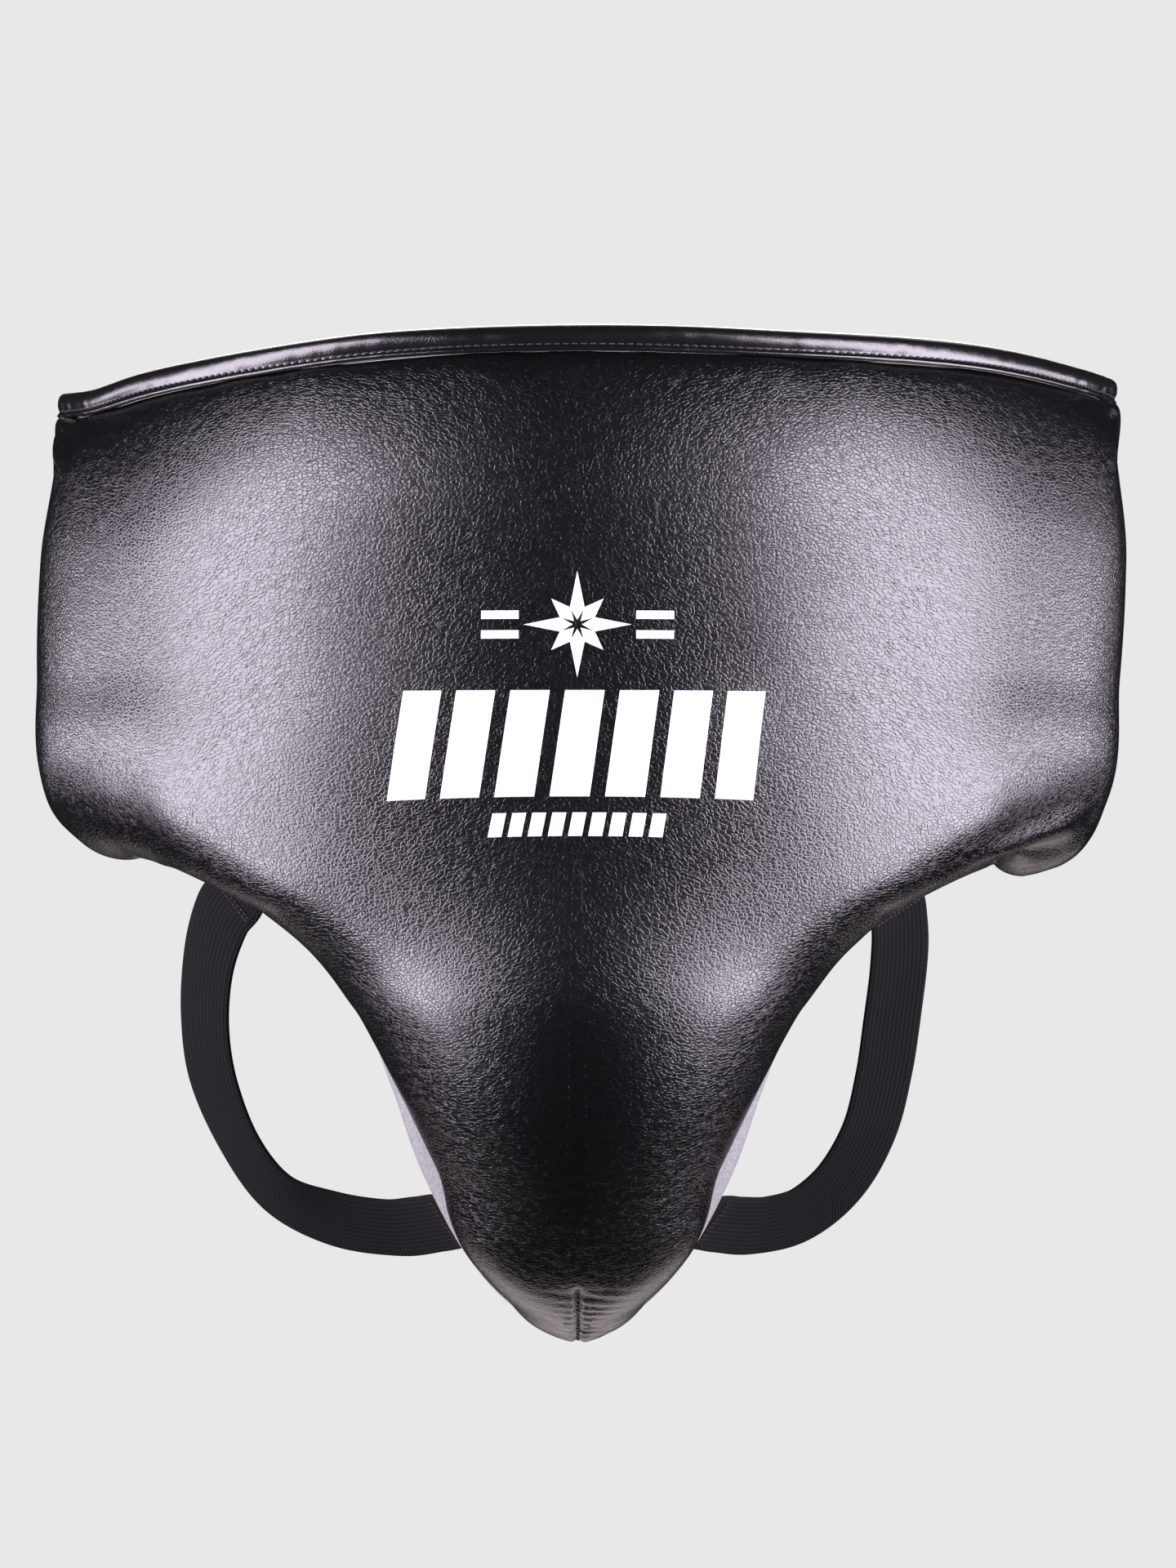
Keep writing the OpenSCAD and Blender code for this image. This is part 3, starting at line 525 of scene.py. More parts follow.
def speckled(name, colour, rough, scale, depth, sheen=0.0, contrast=0.5):
    """Thread, print, pile, foam, rubber or moulded plastic: a noisy surface of one scale."""
    material, tree, shader = new_material(name)
    where = add(tree, "ShaderNodeTexCoord")
    fine = add(tree, "ShaderNodeTexNoise", Scale=scale, Detail=5.0, Roughness=0.65)
    link(tree, where, "Object", fine, "Vector")
    bump = add(tree, "ShaderNodeBump", Strength=0.9, Distance=depth)
    link(tree, fine, "Fac", bump, "Height")
    link(tree, bump, 0, shader, "Normal")
    low = tuple(c * (1 - contrast) for c in colour[:3]) + (1,)
    tone = ramp(tree, fine, "Fac", [(0.3, low), (0.7, colour)])
    link(tree, tone, "Color", shader, "Base Color")
    shader.inputs["Roughness"].default_value = rough
    shader.inputs["Specular IOR Level"].default_value = 0.4
    shader.inputs["Sheen Weight"].default_value = sheen
    return material


def hook_tape(name, colour):
    """Hook tape: a field of small stiff dots, with painted shade darkening the colour between them."""
    material, tree, shader = new_material(name)
    where = add(tree, "ShaderNodeTexCoord")
    dots = add(tree, "ShaderNodeTexVoronoi", Scale=800.0, Randomness=0.25)
    link(tree, where, "Object", dots, "Vector")
    tops = ramp(tree, dots, "Distance", [(0.15, (1, 1, 1, 1)), (0.5, (0, 0, 0, 1))])
    bump = add(tree, "ShaderNodeBump", Strength=1.0, Distance=0.0006)
    link(tree, tops, "Color", bump, "Height")
    link(tree, bump, 0, shader, "Normal")
    # painted shade: the colour is near black between the dots and lighter on their tops
    shade = ramp(tree, tops, "Color", [(0.0, grey(0.006)), (1.0, colour)])
    link(tree, shade, "Color", shader, "Base Color")
    shader.inputs["Roughness"].default_value = 0.4
    return material


COVER_LEATHER = leather("cover_leather", grey(0.002, 0.06), 0.235, 1.4, 0.00007)
BINDING_LEATHER = leather("binding_leather", grey(0.004, 0.05), 0.2, 1.0, 0.00002)
LINING = woven("lining_fabric", grey(0.02), 0.7, 0.7, 0.0002, sheen=0.4)
ELASTIC = woven("elastic", grey(0.0022, 0.1), 0.55, 0.9, 0.00022, sheen=0.0)
THREAD = speckled("thread", grey(0.012), 0.5, 3000.0, 0.0001)
PRINT = speckled("print_white", (0.42, 0.42, 0.42, 1), 0.5, 2400.0, 0.00004, contrast=0.03)
FOAM = speckled("foam", grey(0.2), 0.9, 900.0, 0.0004)
CUP_PLASTIC = speckled("cup_plastic", grey(0.75), 0.4, 1500.0, 0.00002, contrast=0.04)
RIM_RUBBER = speckled("rim_rubber", grey(0.03), 0.7, 1200.0, 0.0001)
LOOP_PILE = speckled("loop_pile", grey(0.016), 0.95, 1500.0, 0.0009, sheen=0.5, contrast=0.7)
HOOK_TAPE = hook_tape("hook_tape", grey(0.03))

for material, nodes in (
        (FOAM, ("abdomen_pad", "hip_pad_right", "hip_pad_left", "groin_pad", "cup_liner")),
        (CUP_PLASTIC, ("hard_cup",)),
        (RIM_RUBBER, ("cup_rim",)),
        (HOOK_TAPE, ("hook_panel", "hook_strip")),
        (LOOP_PILE, ("loop_panel",)),
        (THREAD, ("loop_panel_stitches", "tab_stitches"))):
    for node_name in nodes:
        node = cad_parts[node_name]
        node.data.materials.clear()
        node.data.materials.append(material)


# ---------------------------------------------------------------- front cover
def cover_points(panel, inset, height, at):
    """Points of the cover with its small waves."""
    return on_shell(panel, height + leather_relief(panel, inset, at))


def build_cover():
    """The leather cover: turned edge, rolled side and face, in rings from the seam to the middle."""
    n = len(SEAM)
    edge = seam_height(SEAM)
    rows, uv = [], []
    for back, drop in ((2.6, 0.5), (1.3, 0.9), (0.3, 0.5)):
        p = SEAM - SEAM_OUT * back
        rows.append(on_shell(p, edge - drop))
        uv.append(p)
    for a in np.radians(np.linspace(0, 90, 44)):
        inset = ROLL * (1 - np.cos(a))
        p = SEAM - SEAM_OUT * inset
        full = padding(p[:, 1])
        rows.append(cover_points(p, np.full(n, inset), edge + (full - edge) * np.sin(a), SEAM_AT))
        uv.append(p)
    inner = SEAM - SEAM_OUT * ROLL
    for r in np.linspace(0, 1, 82)[1:-1] ** 1.6:
        p = inner * (1 - r) + PANEL_CENTRE * r
        away = ROLL + np.linalg.norm(p - inner, axis=1)
        rows.append(cover_points(p, away, padding(p[:, 1]), SEAM_AT))
        uv.append(p)
    verts = np.concatenate(rows + [on_shell(PANEL_CENTRE[None], padding(PANEL_CENTRE[1:]))])
    faces = grid_faces(len(rows), n, closed_columns=True, flip=True)
    last = (len(rows) - 1) * n
    faces += [(last + i, len(verts) - 1, last + (i + 1) % n) for i in range(n)]
    obj = make_object("leather_cover", verts, faces, COVER_LEATHER)
    uv_by_point(obj, np.concatenate(uv + [PANEL_CENTRE[None]]))
    fix_normals(obj)
    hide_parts("front_cover")
    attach(obj, "shell")


def build_foam():
    """The front foam: it fills the cover, under the same waves, and is flat behind."""
    clear = 1.6
    dome_roof = 8.6
    n = len(SEAM)
    edge = seam_height(SEAM)
    rows = []
    for a in np.radians(np.linspace(25, 90, 12)):
        inset = clear + (ROLL - clear) * (1 - np.cos(a))
        p = SEAM - SEAM_OUT * inset
        height = edge + (padding(p[:, 1]) - clear - edge) * np.sin(a)
        rows.append(cover_points(p, np.full(n, inset), height, SEAM_AT))
    inner = SEAM - SEAM_OUT * ROLL
    for r in np.linspace(0, 1, 30)[1:-1]:
        p = inner * (1 - r) + PANEL_CENTRE * r
        away = ROLL + np.linalg.norm(p - inner, axis=1)
        rows.append(cover_points(p, away, padding(p[:, 1]) - clear, SEAM_AT))
    for r in np.linspace(1, 0, 24)[1:]:
        p = (SEAM - SEAM_OUT * 6) * (1 - r) + PANEL_CENTRE * r
        over_cup = dome(p) + dome_roof * smooth(dome(p))
        rows.append(on_shell(p, np.maximum(0.44 * padding(p[:, 1]), over_cup)))
    verts = np.concatenate(rows)
    faces = grid_faces(len(rows), n, closed_columns=True, closed_rows=True, flip=True)
    obj = make_object("front_foam_layer", verts, faces, FOAM)
    fix_normals(obj)
    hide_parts("front_foam")
    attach(obj, "shell")


def build_lining():
    """The lining: up the turned edge, then across the back, sunk over the cup."""
    n = len(SEAM)
    edge = seam_height(SEAM)
    rows, uv = [], []
    width = 8 + edge - SEAM_T
    for r in np.linspace(0.02, 1, 12):
        p = SEAM - SEAM_OUT * (r * width)[:, None]
        pull = 0.4 * value_noise(SEAM_AT / 7, np.full(n, 3.0), 8) * math.sin(math.pi * r)
        rows.append(on_shell(p, (edge - 0.5) * (1 - r) ** 2 + dome(p) + pull))
        uv.append(p)
    inner = SEAM - SEAM_OUT * width[:, None]
    for r in np.linspace(0, 1, 40)[1:-1]:
        p = inner * (1 - r) + PANEL_CENTRE * r
        wave = 0.35 * value_noise(p[:, 0] / 24, p[:, 1] / 24, 9)
        rows.append(on_shell(p, dome(p) + wave * smooth(r * 6) - cup_piping(p)))
        uv.append(p)
    verts = np.concatenate(rows + [on_shell(PANEL_CENTRE[None], np.zeros(1))])
    faces = grid_faces(len(rows), n, closed_columns=True)
    last = (len(rows) - 1) * n
    faces += [(last + i, last + (i + 1) % n, len(verts) - 1) for i in range(n)]
    obj = make_object("lining", verts, faces, LINING)
    uv_by_point(obj, np.concatenate(uv + [PANEL_CENTRE[None]]))
    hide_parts("back_lining")
    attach(obj, "shell")


def cup_piping(p):
    """The low welt where the lining is sewn round the cup's pocket."""
    r = np.sqrt((((p - CUP_CENTRE) / POCKET_HALF) ** 2).sum(-1))
    return 1.1 * np.exp(-((r - 1.06) / 0.03) ** 2)


# ---------------------------------------------------------------- top binding
BINDING_HALF = 4.5     # half the height of its section


def top_line(around):
    """The line of the binding on the panel."""
    return np.stack([around, top_down(around)], -1)


def in_valley(around):
    """A place in the stitched valley of the binding's front."""
    line = top_line(around)
    return on_shell(line + [0, 2.6], seam_height(line) + 2.75)


def build_binding():
    """The glossy strip folded over the waist edge, with its stitched valley and small creases."""
    profile = np.array([
        # down, out
        [4.6, -2.6], [2.5, -3.1], [0, -3.2], [-2.2, -3.1], [-3.8, -2.3], [-4.6, -0.9],
        [-4.7, 0.7], [-4.1, 2.1], [-2.9, 3.0], [-1.2, 3.35], [0.6, 3.3], [1.9, 2.85],
        [2.6, 2.45], [3.3, 2.75], [3.9, 3.25], [4.6, 3.2], [5.1, 2.5], [5.0, 1.2],
        [4.2, 0.9], [4.2, -1.2]])
    sections, uv = [], []
    for place in np.arange(-WAIST_END, WAIST_END + 0.01, 1.6):
        line = top_line(place)
        wave = value_noise(place / 9.0, 2.0, 11)
        crease = value_noise(place / 2.6, 8.0, 12) ** 3
        near_end = smooth((abs(place) - 150) / 50)
        scale = 1 + 0.05 * wave + (0.05 + 0.16 * near_end) * crease
        tilt = 0.5 * value_noise(place / 30.0, 5.0, 13)
        p = line + np.stack([np.zeros(len(profile)), profile[:, 0]], -1)
        out = seam_height(line) + profile[:, 1] * scale + tilt * (profile[:, 0] / BINDING_HALF)
        sections.append(on_shell(p, out))
        uv.append(np.stack([np.full(len(profile), place), np.arange(len(profile)) * 1.2], -1))
    obj = swept_bar("waist_binding", sections, BINDING_LEATHER)
    uv_by_point(obj, np.concatenate(uv))
    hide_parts("top_binding")
    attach(obj, "shell")
    stitches = []
    for place in np.arange(-204.0, 204.0, 2.5):
        stitches.append(stitch_between(in_valley(place), in_valley(place + 1.5), 0.34))
    thread_row("waist_binding_thread", stitches, "binding_stitches")


# ---------------------------------------------------------------- stitches
STITCH_SIDES = 8


def stitch_between(a, b, radius):
    """Points and faces of one stitch: a short thread that thins at both ends."""
    a, b = np.asarray(a, float), np.asarray(b, float)
    d = unit(b - a)
    side = unit(np.cross(d, [0.0, 0.0, 1.0]) if abs(d[2]) < 0.9 else np.cross(d, [1.0, 0.0, 0.0]))
    up = np.cross(side, d)
    rings = []
    for r, k in ((-0.04, 0.25), (0.08, 0.85), (0.5, 1.0), (0.92, 0.85), (1.04, 0.25)):
        c = a + (b - a) * r
        rings.append([c + radius * k * (side * math.cos(t) + up * math.sin(t))
                      for t in np.arange(STITCH_SIDES) * math.pi / 4])
    verts = np.concatenate(rings)
    faces = grid_faces(len(rings), STITCH_SIDES, closed_columns=True)
    faces.append(tuple(range(STITCH_SIDES))[::-1])
    faces.append(tuple(len(verts) - STITCH_SIDES + i for i in range(STITCH_SIDES)))
    return verts, faces


def thread_row(name, stitches, node_name=None):
    """One object on the shell out of many stitches."""
    verts, faces = [], []
    start = 0
    for v, f in stitches:
        verts.append(v)
        faces += [tuple(start + i for i in face) for face in f]
        start += len(v)
    obj = make_object(name, np.concatenate(verts), faces, THREAD)
    if node_name:
        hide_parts(node_name)
    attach(obj, "shell")


# ---------------------------------------------------------------- emblem
STAR_CENTRE = np.array([0.0, 108.0])
EMBLEM_SQUEEZE = 0.75   # panel width of the emblem over its width on the padded front


def star_ray(angle, length):
    """Corners of one ray of the star, a kite that points away from its centre."""
    d = np.array([math.sin(angle) * EMBLEM_SQUEEZE, -math.cos(angle)])
    side = np.array([math.cos(angle) * EMBLEM_SQUEEZE, math.sin(angle)])
    return [STAR_CENTRE + d * 1.6, STAR_CENTRE + d * 6 + side * 2.6,
            STAR_CENTRE + d * length, STAR_CENTRE + d * 6 - side * 2.6]


def block_row(count, pitch, half_width, slant, top, bottom):
    """Corners of a row of equal slanted blocks."""
    blocks = []
    for k in range(count):
        x = (k - (count - 1) / 2) * pitch
        blocks.append([[x + half_width + slant, top], [x - half_width + slant, top],
                       [x - half_width - slant, bottom], [x + half_width - slant, bottom]])
    return blocks


def build_emblem():
    """A neutral print: a star of eight rays between short bars, over two rows of slanted blocks."""
    patches = [star_ray(k * math.pi / 4, 13 if k % 2 else 19) for k in range(8)]
    for x in (-20.5, 20.5):
        for top in (-5, 2):
            patches.append([STAR_CENTRE + np.array(q) for q in
                            ([x + 5, top], [x - 5, top], [x - 5, top + 3], [x + 5, top + 3])])
    patches += block_row(7, 14.4, 5.2, 2, 131.5, 168.5)
    patches += block_row(9, 5.2, 1.8, 0.6, 174, 182)
    objects = []
    for k, corners in enumerate(patches):
        a, b, c, d = (np.array(q, float) for q in corners)
        steps = max(4, round(float(np.linalg.norm(b - a)) / 1.5))
        rows = []
        for r in np.linspace(0, 1, steps + 1):
            near, far = a + (b - a) * r, d + (c - d) * r
            p = near + (far - near) * np.linspace(0, 1, 25)[:, None]
            rise = padding(p[:, 1]) + leather_relief(p, np.full(len(p), FAR_INSIDE), np.zeros(len(p)))
            rows.append(np.concatenate([on_shell(p, rise + 0.16), on_shell(p, rise - 0.1)[::-1]]))
        objects.append(swept_bar("emblem_%d" % k, rows, PRINT))
    obj = join("emblem_print", objects)
    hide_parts("front_emblem")
    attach(obj, "shell")


# ---------------------------------------------------------------- stitches of the lower seam and the dart
def build_edge_thread():
    """The row of thread along the lower seam, from wing corner to wing corner."""
    stitches = []
    line = closed_curve(SEAM_POINTS)
    out = smoothed_normals(line)
    low = [i for i in range(len(line)) if line[i, 1] > 172]
    for i in low[:-2:2]:
        p, q = line[i] + out[i] * 0.35, line[i + 1] + out[i + 1] * 0.35
        h = seam_height(line[i]) - 0.2
        stitches.append(stitch_between(on_shell(p, h), on_shell(q, h), 0.3))
    thread_row("leg_edge_thread", stitches)


DART_HALF = 0.35       # half the width of the dart's zigzag


def build_dart_thread():
    """The zigzag of thread that closes the dart at the tip."""
    stitches = []
    for v in np.arange(342.0, 394.0, 2.6):
        inset = min(ROLL, TIP[1] - v)
        angle = math.acos(1 - inset / ROLL)
        relief = leather_relief(np.array([DART_HALF, v]), FAR_INSIDE, 0.0)
        height = SEAM_T + (padding(v) - SEAM_T) * math.sin(angle) + relief + 0.1
        a = on_shell([-DART_HALF, v], height)
        b = on_shell([DART_HALF, v + 1.7], height)
        stitches.append(stitch_between(a, b, 0.26))
    thread_row("tip_dart_thread", stitches, "tip_dart_stitches")


# ---------------------------------------------------------------- leg straps
TAPE_W, TAPE_T = 25.0, 1.8
RIGHT_PATH = np.array([
    [-124.5, -78, -99.5], [-131, -70, -108], [-137, -58, -125], [-139.5, -46, -148],
    [-137, -36, -172], [-127.5, -28, -196.5], [-113, -24, -215.5], [-92, -26, -224.5],
    [-70, -34, -227], [-56, -46, -224.5], [-45.5, -60, -222]], float)
RIGHT_WIDE = np.array([
    [-0.8, 0.44, 0.4], [-0.8, 0.52, 0.3], [-0.75, 0.66, 0.1], [-0.72, 0.69, 0],
    [-0.72, 0.68, -0.1], [-0.56, 0.75, -0.3], [-0.4, 0.7, -0.58], [-0.15, 0.52, -0.84],
    [0.1, 0.47, -0.87], [0.3, 0.45, -0.84], [0.41, 0.44, -0.8]], float)
LEFT_PATH = np.array([
    [116, -83, -103.5], [117.5, -76, -112], [118.2, -64, -126], [116.7, -52, -146],
    [114.2, -42, -168], [109.2, -34, -190], [98.8, -28, -209.5], [84, -28, -222],
    [68, -35, -225.5], [56, -47, -224], [47, -60, -222]], float)
LEFT_WIDE = np.array([
    [0.8, 0.44, 0.42], [0.83, 0.48, 0.3], [0.86, 0.5, 0.1], [0.86, 0.5, 0],
    [0.84, 0.52, -0.1], [0.74, 0.56, -0.35], [0.5, 0.55, -0.66], [0.18, 0.5, -0.85],
    [-0.1, 0.46, -0.88], [-0.3, 0.45, -0.84], [-0.41, 0.44, -0.8]], float)


def along(points, s):
    """A smooth place on a path of points, by the number of a point."""
    n = len(points) - 1
    s = min(n - 1e-6, max(0.0, s))
    i = int(s)
    t = s - i
    m1 = (points[i + 1] - points[max(0, i - 1)]) / (2 if i else 1)
    m2 = (points[min(n, i + 2)] - points[i]) / (2 if i < n - 1 else 1)
    a, b = points[i], points[i + 1]
    return (a * (1 + 2 * t) * (1 - t) ** 2 + b * t * t * (3 - 2 * t)
            + m1 * t * (1 - t) ** 2 - m2 * t * t * (1 - t))


def tape_frame(path, wide, s):
    """Centre, width direction and face direction of a tape at a place."""
    c = along(path, s)
    d = unit(along(path, s + 0.05) - along(path, s - 0.05))
    w = along(wide, s)
    w = unit(w - d * (w @ d))
    return c, w, np.cross(d, w)


def tape_profile(width, thick, corner=0.5):
    """A flat tape's section: across and out, with rounded selvedges."""
    a, b = width / 2, thick / 2
    xs = np.linspace(-a + corner, a - corner, 13)
    top = [(x, b) for x in xs]
    bottom = [(x, -b) for x in xs[::-1]]
    right = [(a - 0.12, b * 0.6), (a, 0), (a - 0.12, -b * 0.6)]
    left = [(-a + 0.12, -b * 0.6), (-a, 0), (-a + 0.12, b * 0.6)]
    return np.array(top + right + bottom + left)


def under_seam(end):
    """The place between cover and lining, under the seam, where a tape's end is sewn in."""
    edge = on_shell(SEAM, seam_height(SEAM))
    i = int(np.argmin(np.linalg.norm(edge - end, axis=1)))
    return on_shell(SEAM[i] - SEAM_OUT[i] * 7, 2.6)


def build_tape(name, path, wide, node_names):
    """A strap of flat elastic from seam to seam, a little cupped across its width."""
    profile = tape_profile(TAPE_W, TAPE_T)
    sections, uv, run = [], [], 0.0
    whole = np.concatenate([[under_seam(path[0])], path, [under_seam(path[-1])]])
    whole_wide = np.concatenate([wide[:1], wide, wide[-1:]])
    before = whole[0]
    for s in np.linspace(0.0, len(whole) - 1.0, 170):
        c, w, n = tape_frame(whole, whole_wide, s)
        run += float(np.linalg.norm(c - before))
        before = c
        cup = 0.5 * (profile[:, 0] / (TAPE_W / 2)) ** 2
        sections.append(c + w * profile[:, :1] + n * (profile[:, 1] + cup)[:, None])
        uv.append(np.stack([profile[:, 0], np.full(len(profile), run)], -1))
    obj = swept_bar(name, sections, ELASTIC)
    uv_by_point(obj, np.concatenate(uv))
    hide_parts(*node_names)
    axis_mid = (path[0] + path[-1]) / 2
    out = along(path, 4.5) - axis_mid
    line = unit(path[-1] - path[0])
    out = unit(out - line * (out @ line))
    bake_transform(obj)


def build_tapes():
    """Both leg straps."""
    build_tape("leg_strap_of_right_thigh", RIGHT_PATH, RIGHT_WIDE,
               ("leg_strap_right", "strap_anchor_right"))
    build_tape("leg_strap_of_left_thigh", LEFT_PATH, LEFT_WIDE,
               ("leg_strap_left", "strap_anchor_left"))


def build_bartacks():
    """Dense rows of thread across each sewn strap end."""
    stitches = []
    for path, wide in ((RIGHT_PATH, RIGHT_WIDE), (LEFT_PATH, LEFT_WIDE)):
        for s in (0.22, 0.34, 9.7, 9.8):
            c, w, n = tape_frame(path, wide, s)
            for face in (-1, 1):
                for k in np.arange(-10.5, 10.0, 1.9):
                    a = c + w * k + n * face * (TAPE_T / 2 + 0.45)
                    stitches.append(stitch_between(a, a + w * 1.3, 0.22))
    thread_row("strap_end_thread", stitches, "strap_bartacks")


# ---------------------------------------------------------------- waist belt
BELT_X, BELT_Y, BELT_Z, BELT_DEPTH = 190.5, -14.0, 12.0, 110.0
BELT_H, BELT_T = 90.0, 3.0
TAB_H = 74.0
OVERLAP, TAB_ROOT, TAB_END = 50.0, 4.0, 58.0     # how far along x from the middle
REAR_LINE = np.array([[p[1], p[0]] for p in SIDE_LINE if p[1] <= 156])


def belt_point(a, off):
    """A point of the belt's path, off its middle line."""
    p = np.stack([-BELT_X * np.cos(a), BELT_Y + BELT_DEPTH * np.sin(a)], -1)
    n = unit(np.stack([-BELT_DEPTH * np.cos(a), BELT_X * np.sin(a)], -1))
    return p + n * np.asarray(off)[..., None]


def belt_angle(x):
    """Angle of the belt's path where it passes x."""
    return math.acos(-x / BELT_X)


def on_middle(a):
    """The outer band and the tab keep to the middle line."""
    return np.zeros_like(a)


def inner_off(a):
    """How far the inner band runs inside the outer one."""
    return -6.4 * smooth((np.degrees(a) - 5) / 50)


def build_band(name, start, stop, offset, height, mirror, material, rounded_end=0.0, steps=120, waves=0.0):
    """A band standing on edge along the belt's path."""
    profile = tape_profile(height, BELT_T, 1.2)
    sections, uv, run, before = [], [], 0.0, None
    end_point = belt_point(stop, 0.0)
    for a in np.linspace(start, stop, steps):
        mid = belt_point(a, offset(a))
        out = unit(belt_point(a, 1.0) - belt_point(a, 0.0))
        left = float(np.linalg.norm(belt_point(a, 0.0) - end_point))
        squeeze = 1.0
        if rounded_end and left < rounded_end:
            lost = rounded_end - math.sqrt(rounded_end ** 2 - (rounded_end - left) ** 2)
            squeeze = 1 - lost / (height / 2)
        run += 0.0 if before is None else float(np.linalg.norm(mid - before))
        before = mid
        z = BELT_Z + profile[:, 0] * squeeze
        ripple = waves * value_noise(np.full(len(profile), run / 16), profile[:, 0] / 45 + 9, 20)
        sections.append(np.concatenate([mid + out * (profile[:, 1] + ripple)[:, None], z[:, None]], 1))
        uv.append(np.stack([profile[:, 0], np.full(len(profile), run)], -1))
    sections = [s * [-1, 1, 1] for s in sections] if mirror else sections
    obj = swept_bar(name, sections, material)
    uv_by_point(obj, np.concatenate(uv))
    return obj


def build_belt():
    """Both elastic bands, each sewn to its wing end."""
    for side, name, body, node_name, stop, off in (
            # whether it is on the wearer's left, names, where the band stops, how far it runs inside
            (False, "belt_band_of_right_wing", "belt_outer", "belt_band_outer",
             belt_angle(TAB_ROOT - 2.6), on_middle),
            (True, "belt_band_of_left_wing", "belt_inner", "belt_band_inner",
             belt_angle(OVERLAP), inner_off)):
        obj = build_band(name, 0.0, stop, off, BELT_H, side, ELASTIC, waves=0.25)
        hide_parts(node_name)
        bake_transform(obj)


def build_tab():
    """The leather closure tab with its rounded end."""
    obj = build_band("belt_closure_tab", belt_angle(TAB_ROOT - 1.2), belt_angle(TAB_END), on_middle,
                     TAB_H, False, COVER_LEATHER, rounded_end=14.0, steps=60)
    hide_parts("closure_tab")
    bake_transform(obj)


def rear_seam(sign, down):
    """A place on one wing's rear seam."""
    p = np.array([sign * through(REAR_LINE, 1, down), down])
    return on_shell(p, seam_height(p))


def build_anchors():
    """The leather ends of the belt at the wings' rear seams, with two rows of thread."""
    for sign, node_name in ((-1, "belt_anchor_right"), (1, "belt_anchor_left")):
        sections, uv = [], []
        for v in np.linspace(42, 138, 60):
            e = rear_seam(sign, v)
            front, rear = e[1] - 2.0, BELT_Y - BELT_T / 2 - 0.5
            x = sign * np.linspace(max(BELT_X, sign * e[0] - 1), BELT_X, 6)
            wave = 0.3 * value_noise(v / 11, 1.0, 30 + sign)
            ys = np.linspace(front, rear, 6)
            swell = np.array([0.2, 0.8, 1.0, 1.0, 0.95, 0.7]) * 1.9
            outer = np.stack([x + sign * (swell + wave * 0.4), ys, np.full(6, e[2])], -1)
            inner = np.stack([x - sign * swell, ys, np.full(6, e[2])], -1)[::-1]
            sections.append(np.concatenate([outer, inner]))
            uv.append(np.stack([np.arange(12.0), np.full(12, v)], -1))
        wing = "right" if sign < 0 else "left"
        obj = swept_bar("belt_leather_end_%s" % wing, sections, COVER_LEATHER)
        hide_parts(node_name)
        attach(obj, "shell")
    stitches = []
    for sign in (-1, 1):
        for offset in (3.2, 6.4):
            for v in np.arange(45.0, 134.0, 4.2):
                ends = []
                for q in (v, v + 2.9):
                    e = rear_seam(sign, q)
                    wide = max(0.0, sign * e[0] - 1 - BELT_X)
                    run = (offset + 2) / (BELT_Y - BELT_T / 2 + 1.5 - e[1])
                    x = sign * (BELT_X + wide * (1 - run) + 2.0)
                    ends.append(np.array([x, e[1] + offset, e[2]]))
                stitches.append(stitch_between(ends[0], ends[1], 0.33))
    thread_row("belt_end_thread", stitches, "belt_anchor_stitches")


# ---------------------------------------------------------------- studio
BOX_DISTANCE, BOX_Z = 1.3, -0.05
AIM = (0, 0, -0.04)
PALE_GROUND = (0.807, 0.807, 0.807, 1)
ROOM_LIGHT = (0.012, 0.011, 0.012, 1)
WARM_TINT = (1.0, 0.88, 0.93)
VIOLET_TINT = (0.96, 0.88, 1.03)


def area_light(name, place, target, width, height, power, colour=(1, 1, 1)):
    """A soft box that the camera doesn't see."""
    data = bpy.data.lights.new(name, "AREA")
    data.shape = "RECTANGLE"
    data.size, data.size_y = width, height
    data.energy = power
    data.color = colour
    light = bpy.data.objects.new(name, data)
    light.location = place
    light.rotation_euler = (Vector(target) - Vector(place)).to_track_quat("-Z", "Z").to_euler()
    light.visible_camera = False
    bpy.context.scene.collection.objects.link(light)


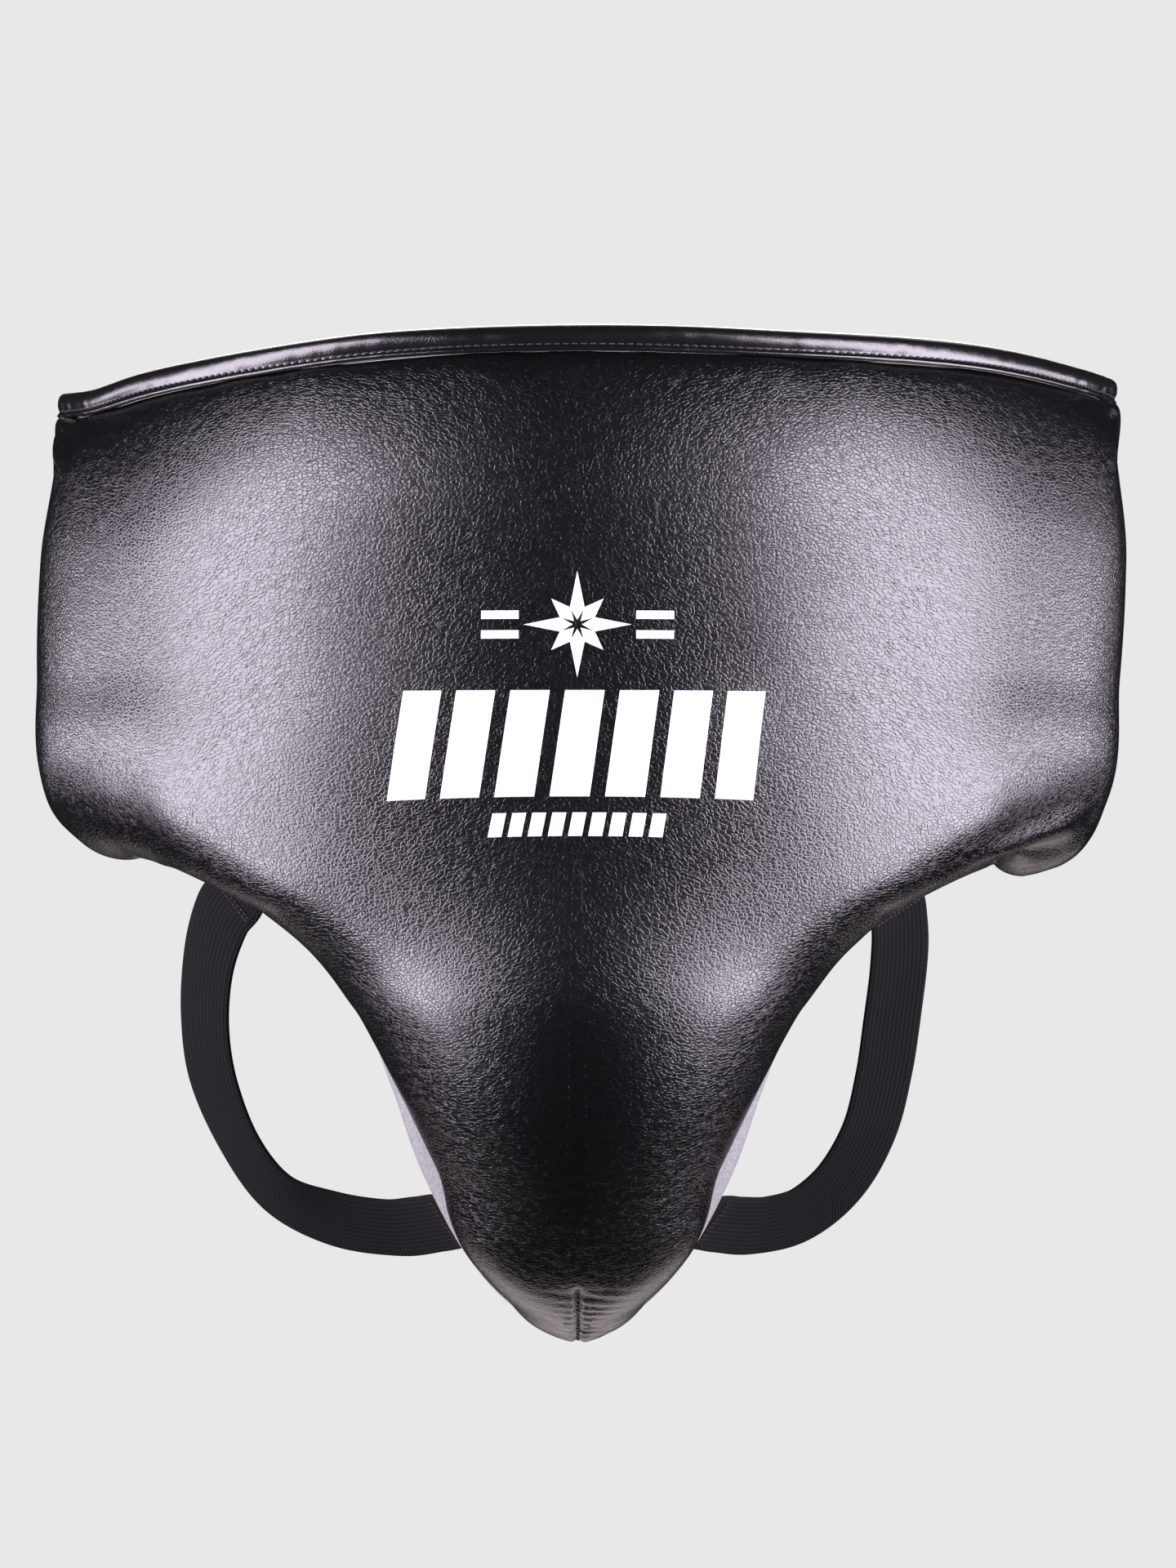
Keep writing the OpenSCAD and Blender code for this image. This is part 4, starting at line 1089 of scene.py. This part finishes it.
def build_studio():
    """A pale ground all round, a broad and a narrow soft box on each side, weaker light from behind."""
    scene = bpy.context.scene
    scene.view_settings.view_transform = "Standard"
    world = bpy.data.worlds.new("studio")
    scene.world = world
    world.use_nodes = True
    tree = world.node_tree
    tree.nodes.clear()
    seen = add(tree, "ShaderNodeBackground")
    seen.inputs["Color"].default_value = PALE_GROUND
    around = add(tree, "ShaderNodeBackground")
    around.inputs["Color"].default_value = ROOM_LIGHT
    path = add(tree, "ShaderNodeLightPath")
    mix = add(tree, "ShaderNodeMixShader")
    link(tree, path, "Is Camera Ray", mix, 0)
    link(tree, around, 0, mix, 1)
    link(tree, seen, 0, mix, 2)
    out = add(tree, "ShaderNodeOutputWorld")
    link(tree, mix, 0, out, 0)
    for name, side, turn, power in (("soft_box_right", -1, 58, 71), ("soft_box_left", 1, 55, 75)):
        turned = math.radians(turn)
        place = (side * BOX_DISTANCE * math.sin(turned), -BOX_DISTANCE * math.cos(turned), BOX_Z)
        area_light(name, place, AIM, 1.8, 0.68, power, VIOLET_TINT)
        area_light(name + "_side", (side * BOX_DISTANCE, 0, BOX_Z), AIM, 0.3, 0.68, 8, VIOLET_TINT)
    area_light("top_glow", (0, 0.75, 1.35), (0, 0, 0), 1.8, 0.7, 11)
    area_light("low_glow", (0, 0.9, -1.25), (0, 0, -0.1), 2.0, 0.8, 9, WARM_TINT)
    area_light("back_glow", (0, 1.8, 0.25), (0, 0, 0), 0.9, 1.2, 5)
    area_light("rear_fill", (0, 1.5, 1.0), (0, 0, -0.05), 1.4, 0.6, 22)


def build_camera():
    """A long lens straight on, at the height of the lower abdomen."""
    data = bpy.data.cameras.new("camera")
    data.lens = 100.0
    data.sensor_width = 36.0
    data.clip_start, data.clip_end = 0.05, 40.0
    camera = bpy.data.objects.new("camera", data)
    camera.location = (3.76 * MM, -1671 * MM, -60 * MM)
    camera.rotation_euler = (math.radians(90), 0, 0)
    bpy.context.scene.collection.objects.link(camera)
    bpy.context.scene.camera = camera


# ---------------------------------------------------------------- the guard and its studio
build_cover()
build_foam()
build_lining()
build_binding()
build_emblem()
build_edge_thread()
build_dart_thread()
build_tapes()
build_bartacks()
build_belt()
build_tab()
build_anchors()
build_studio()
build_camera()
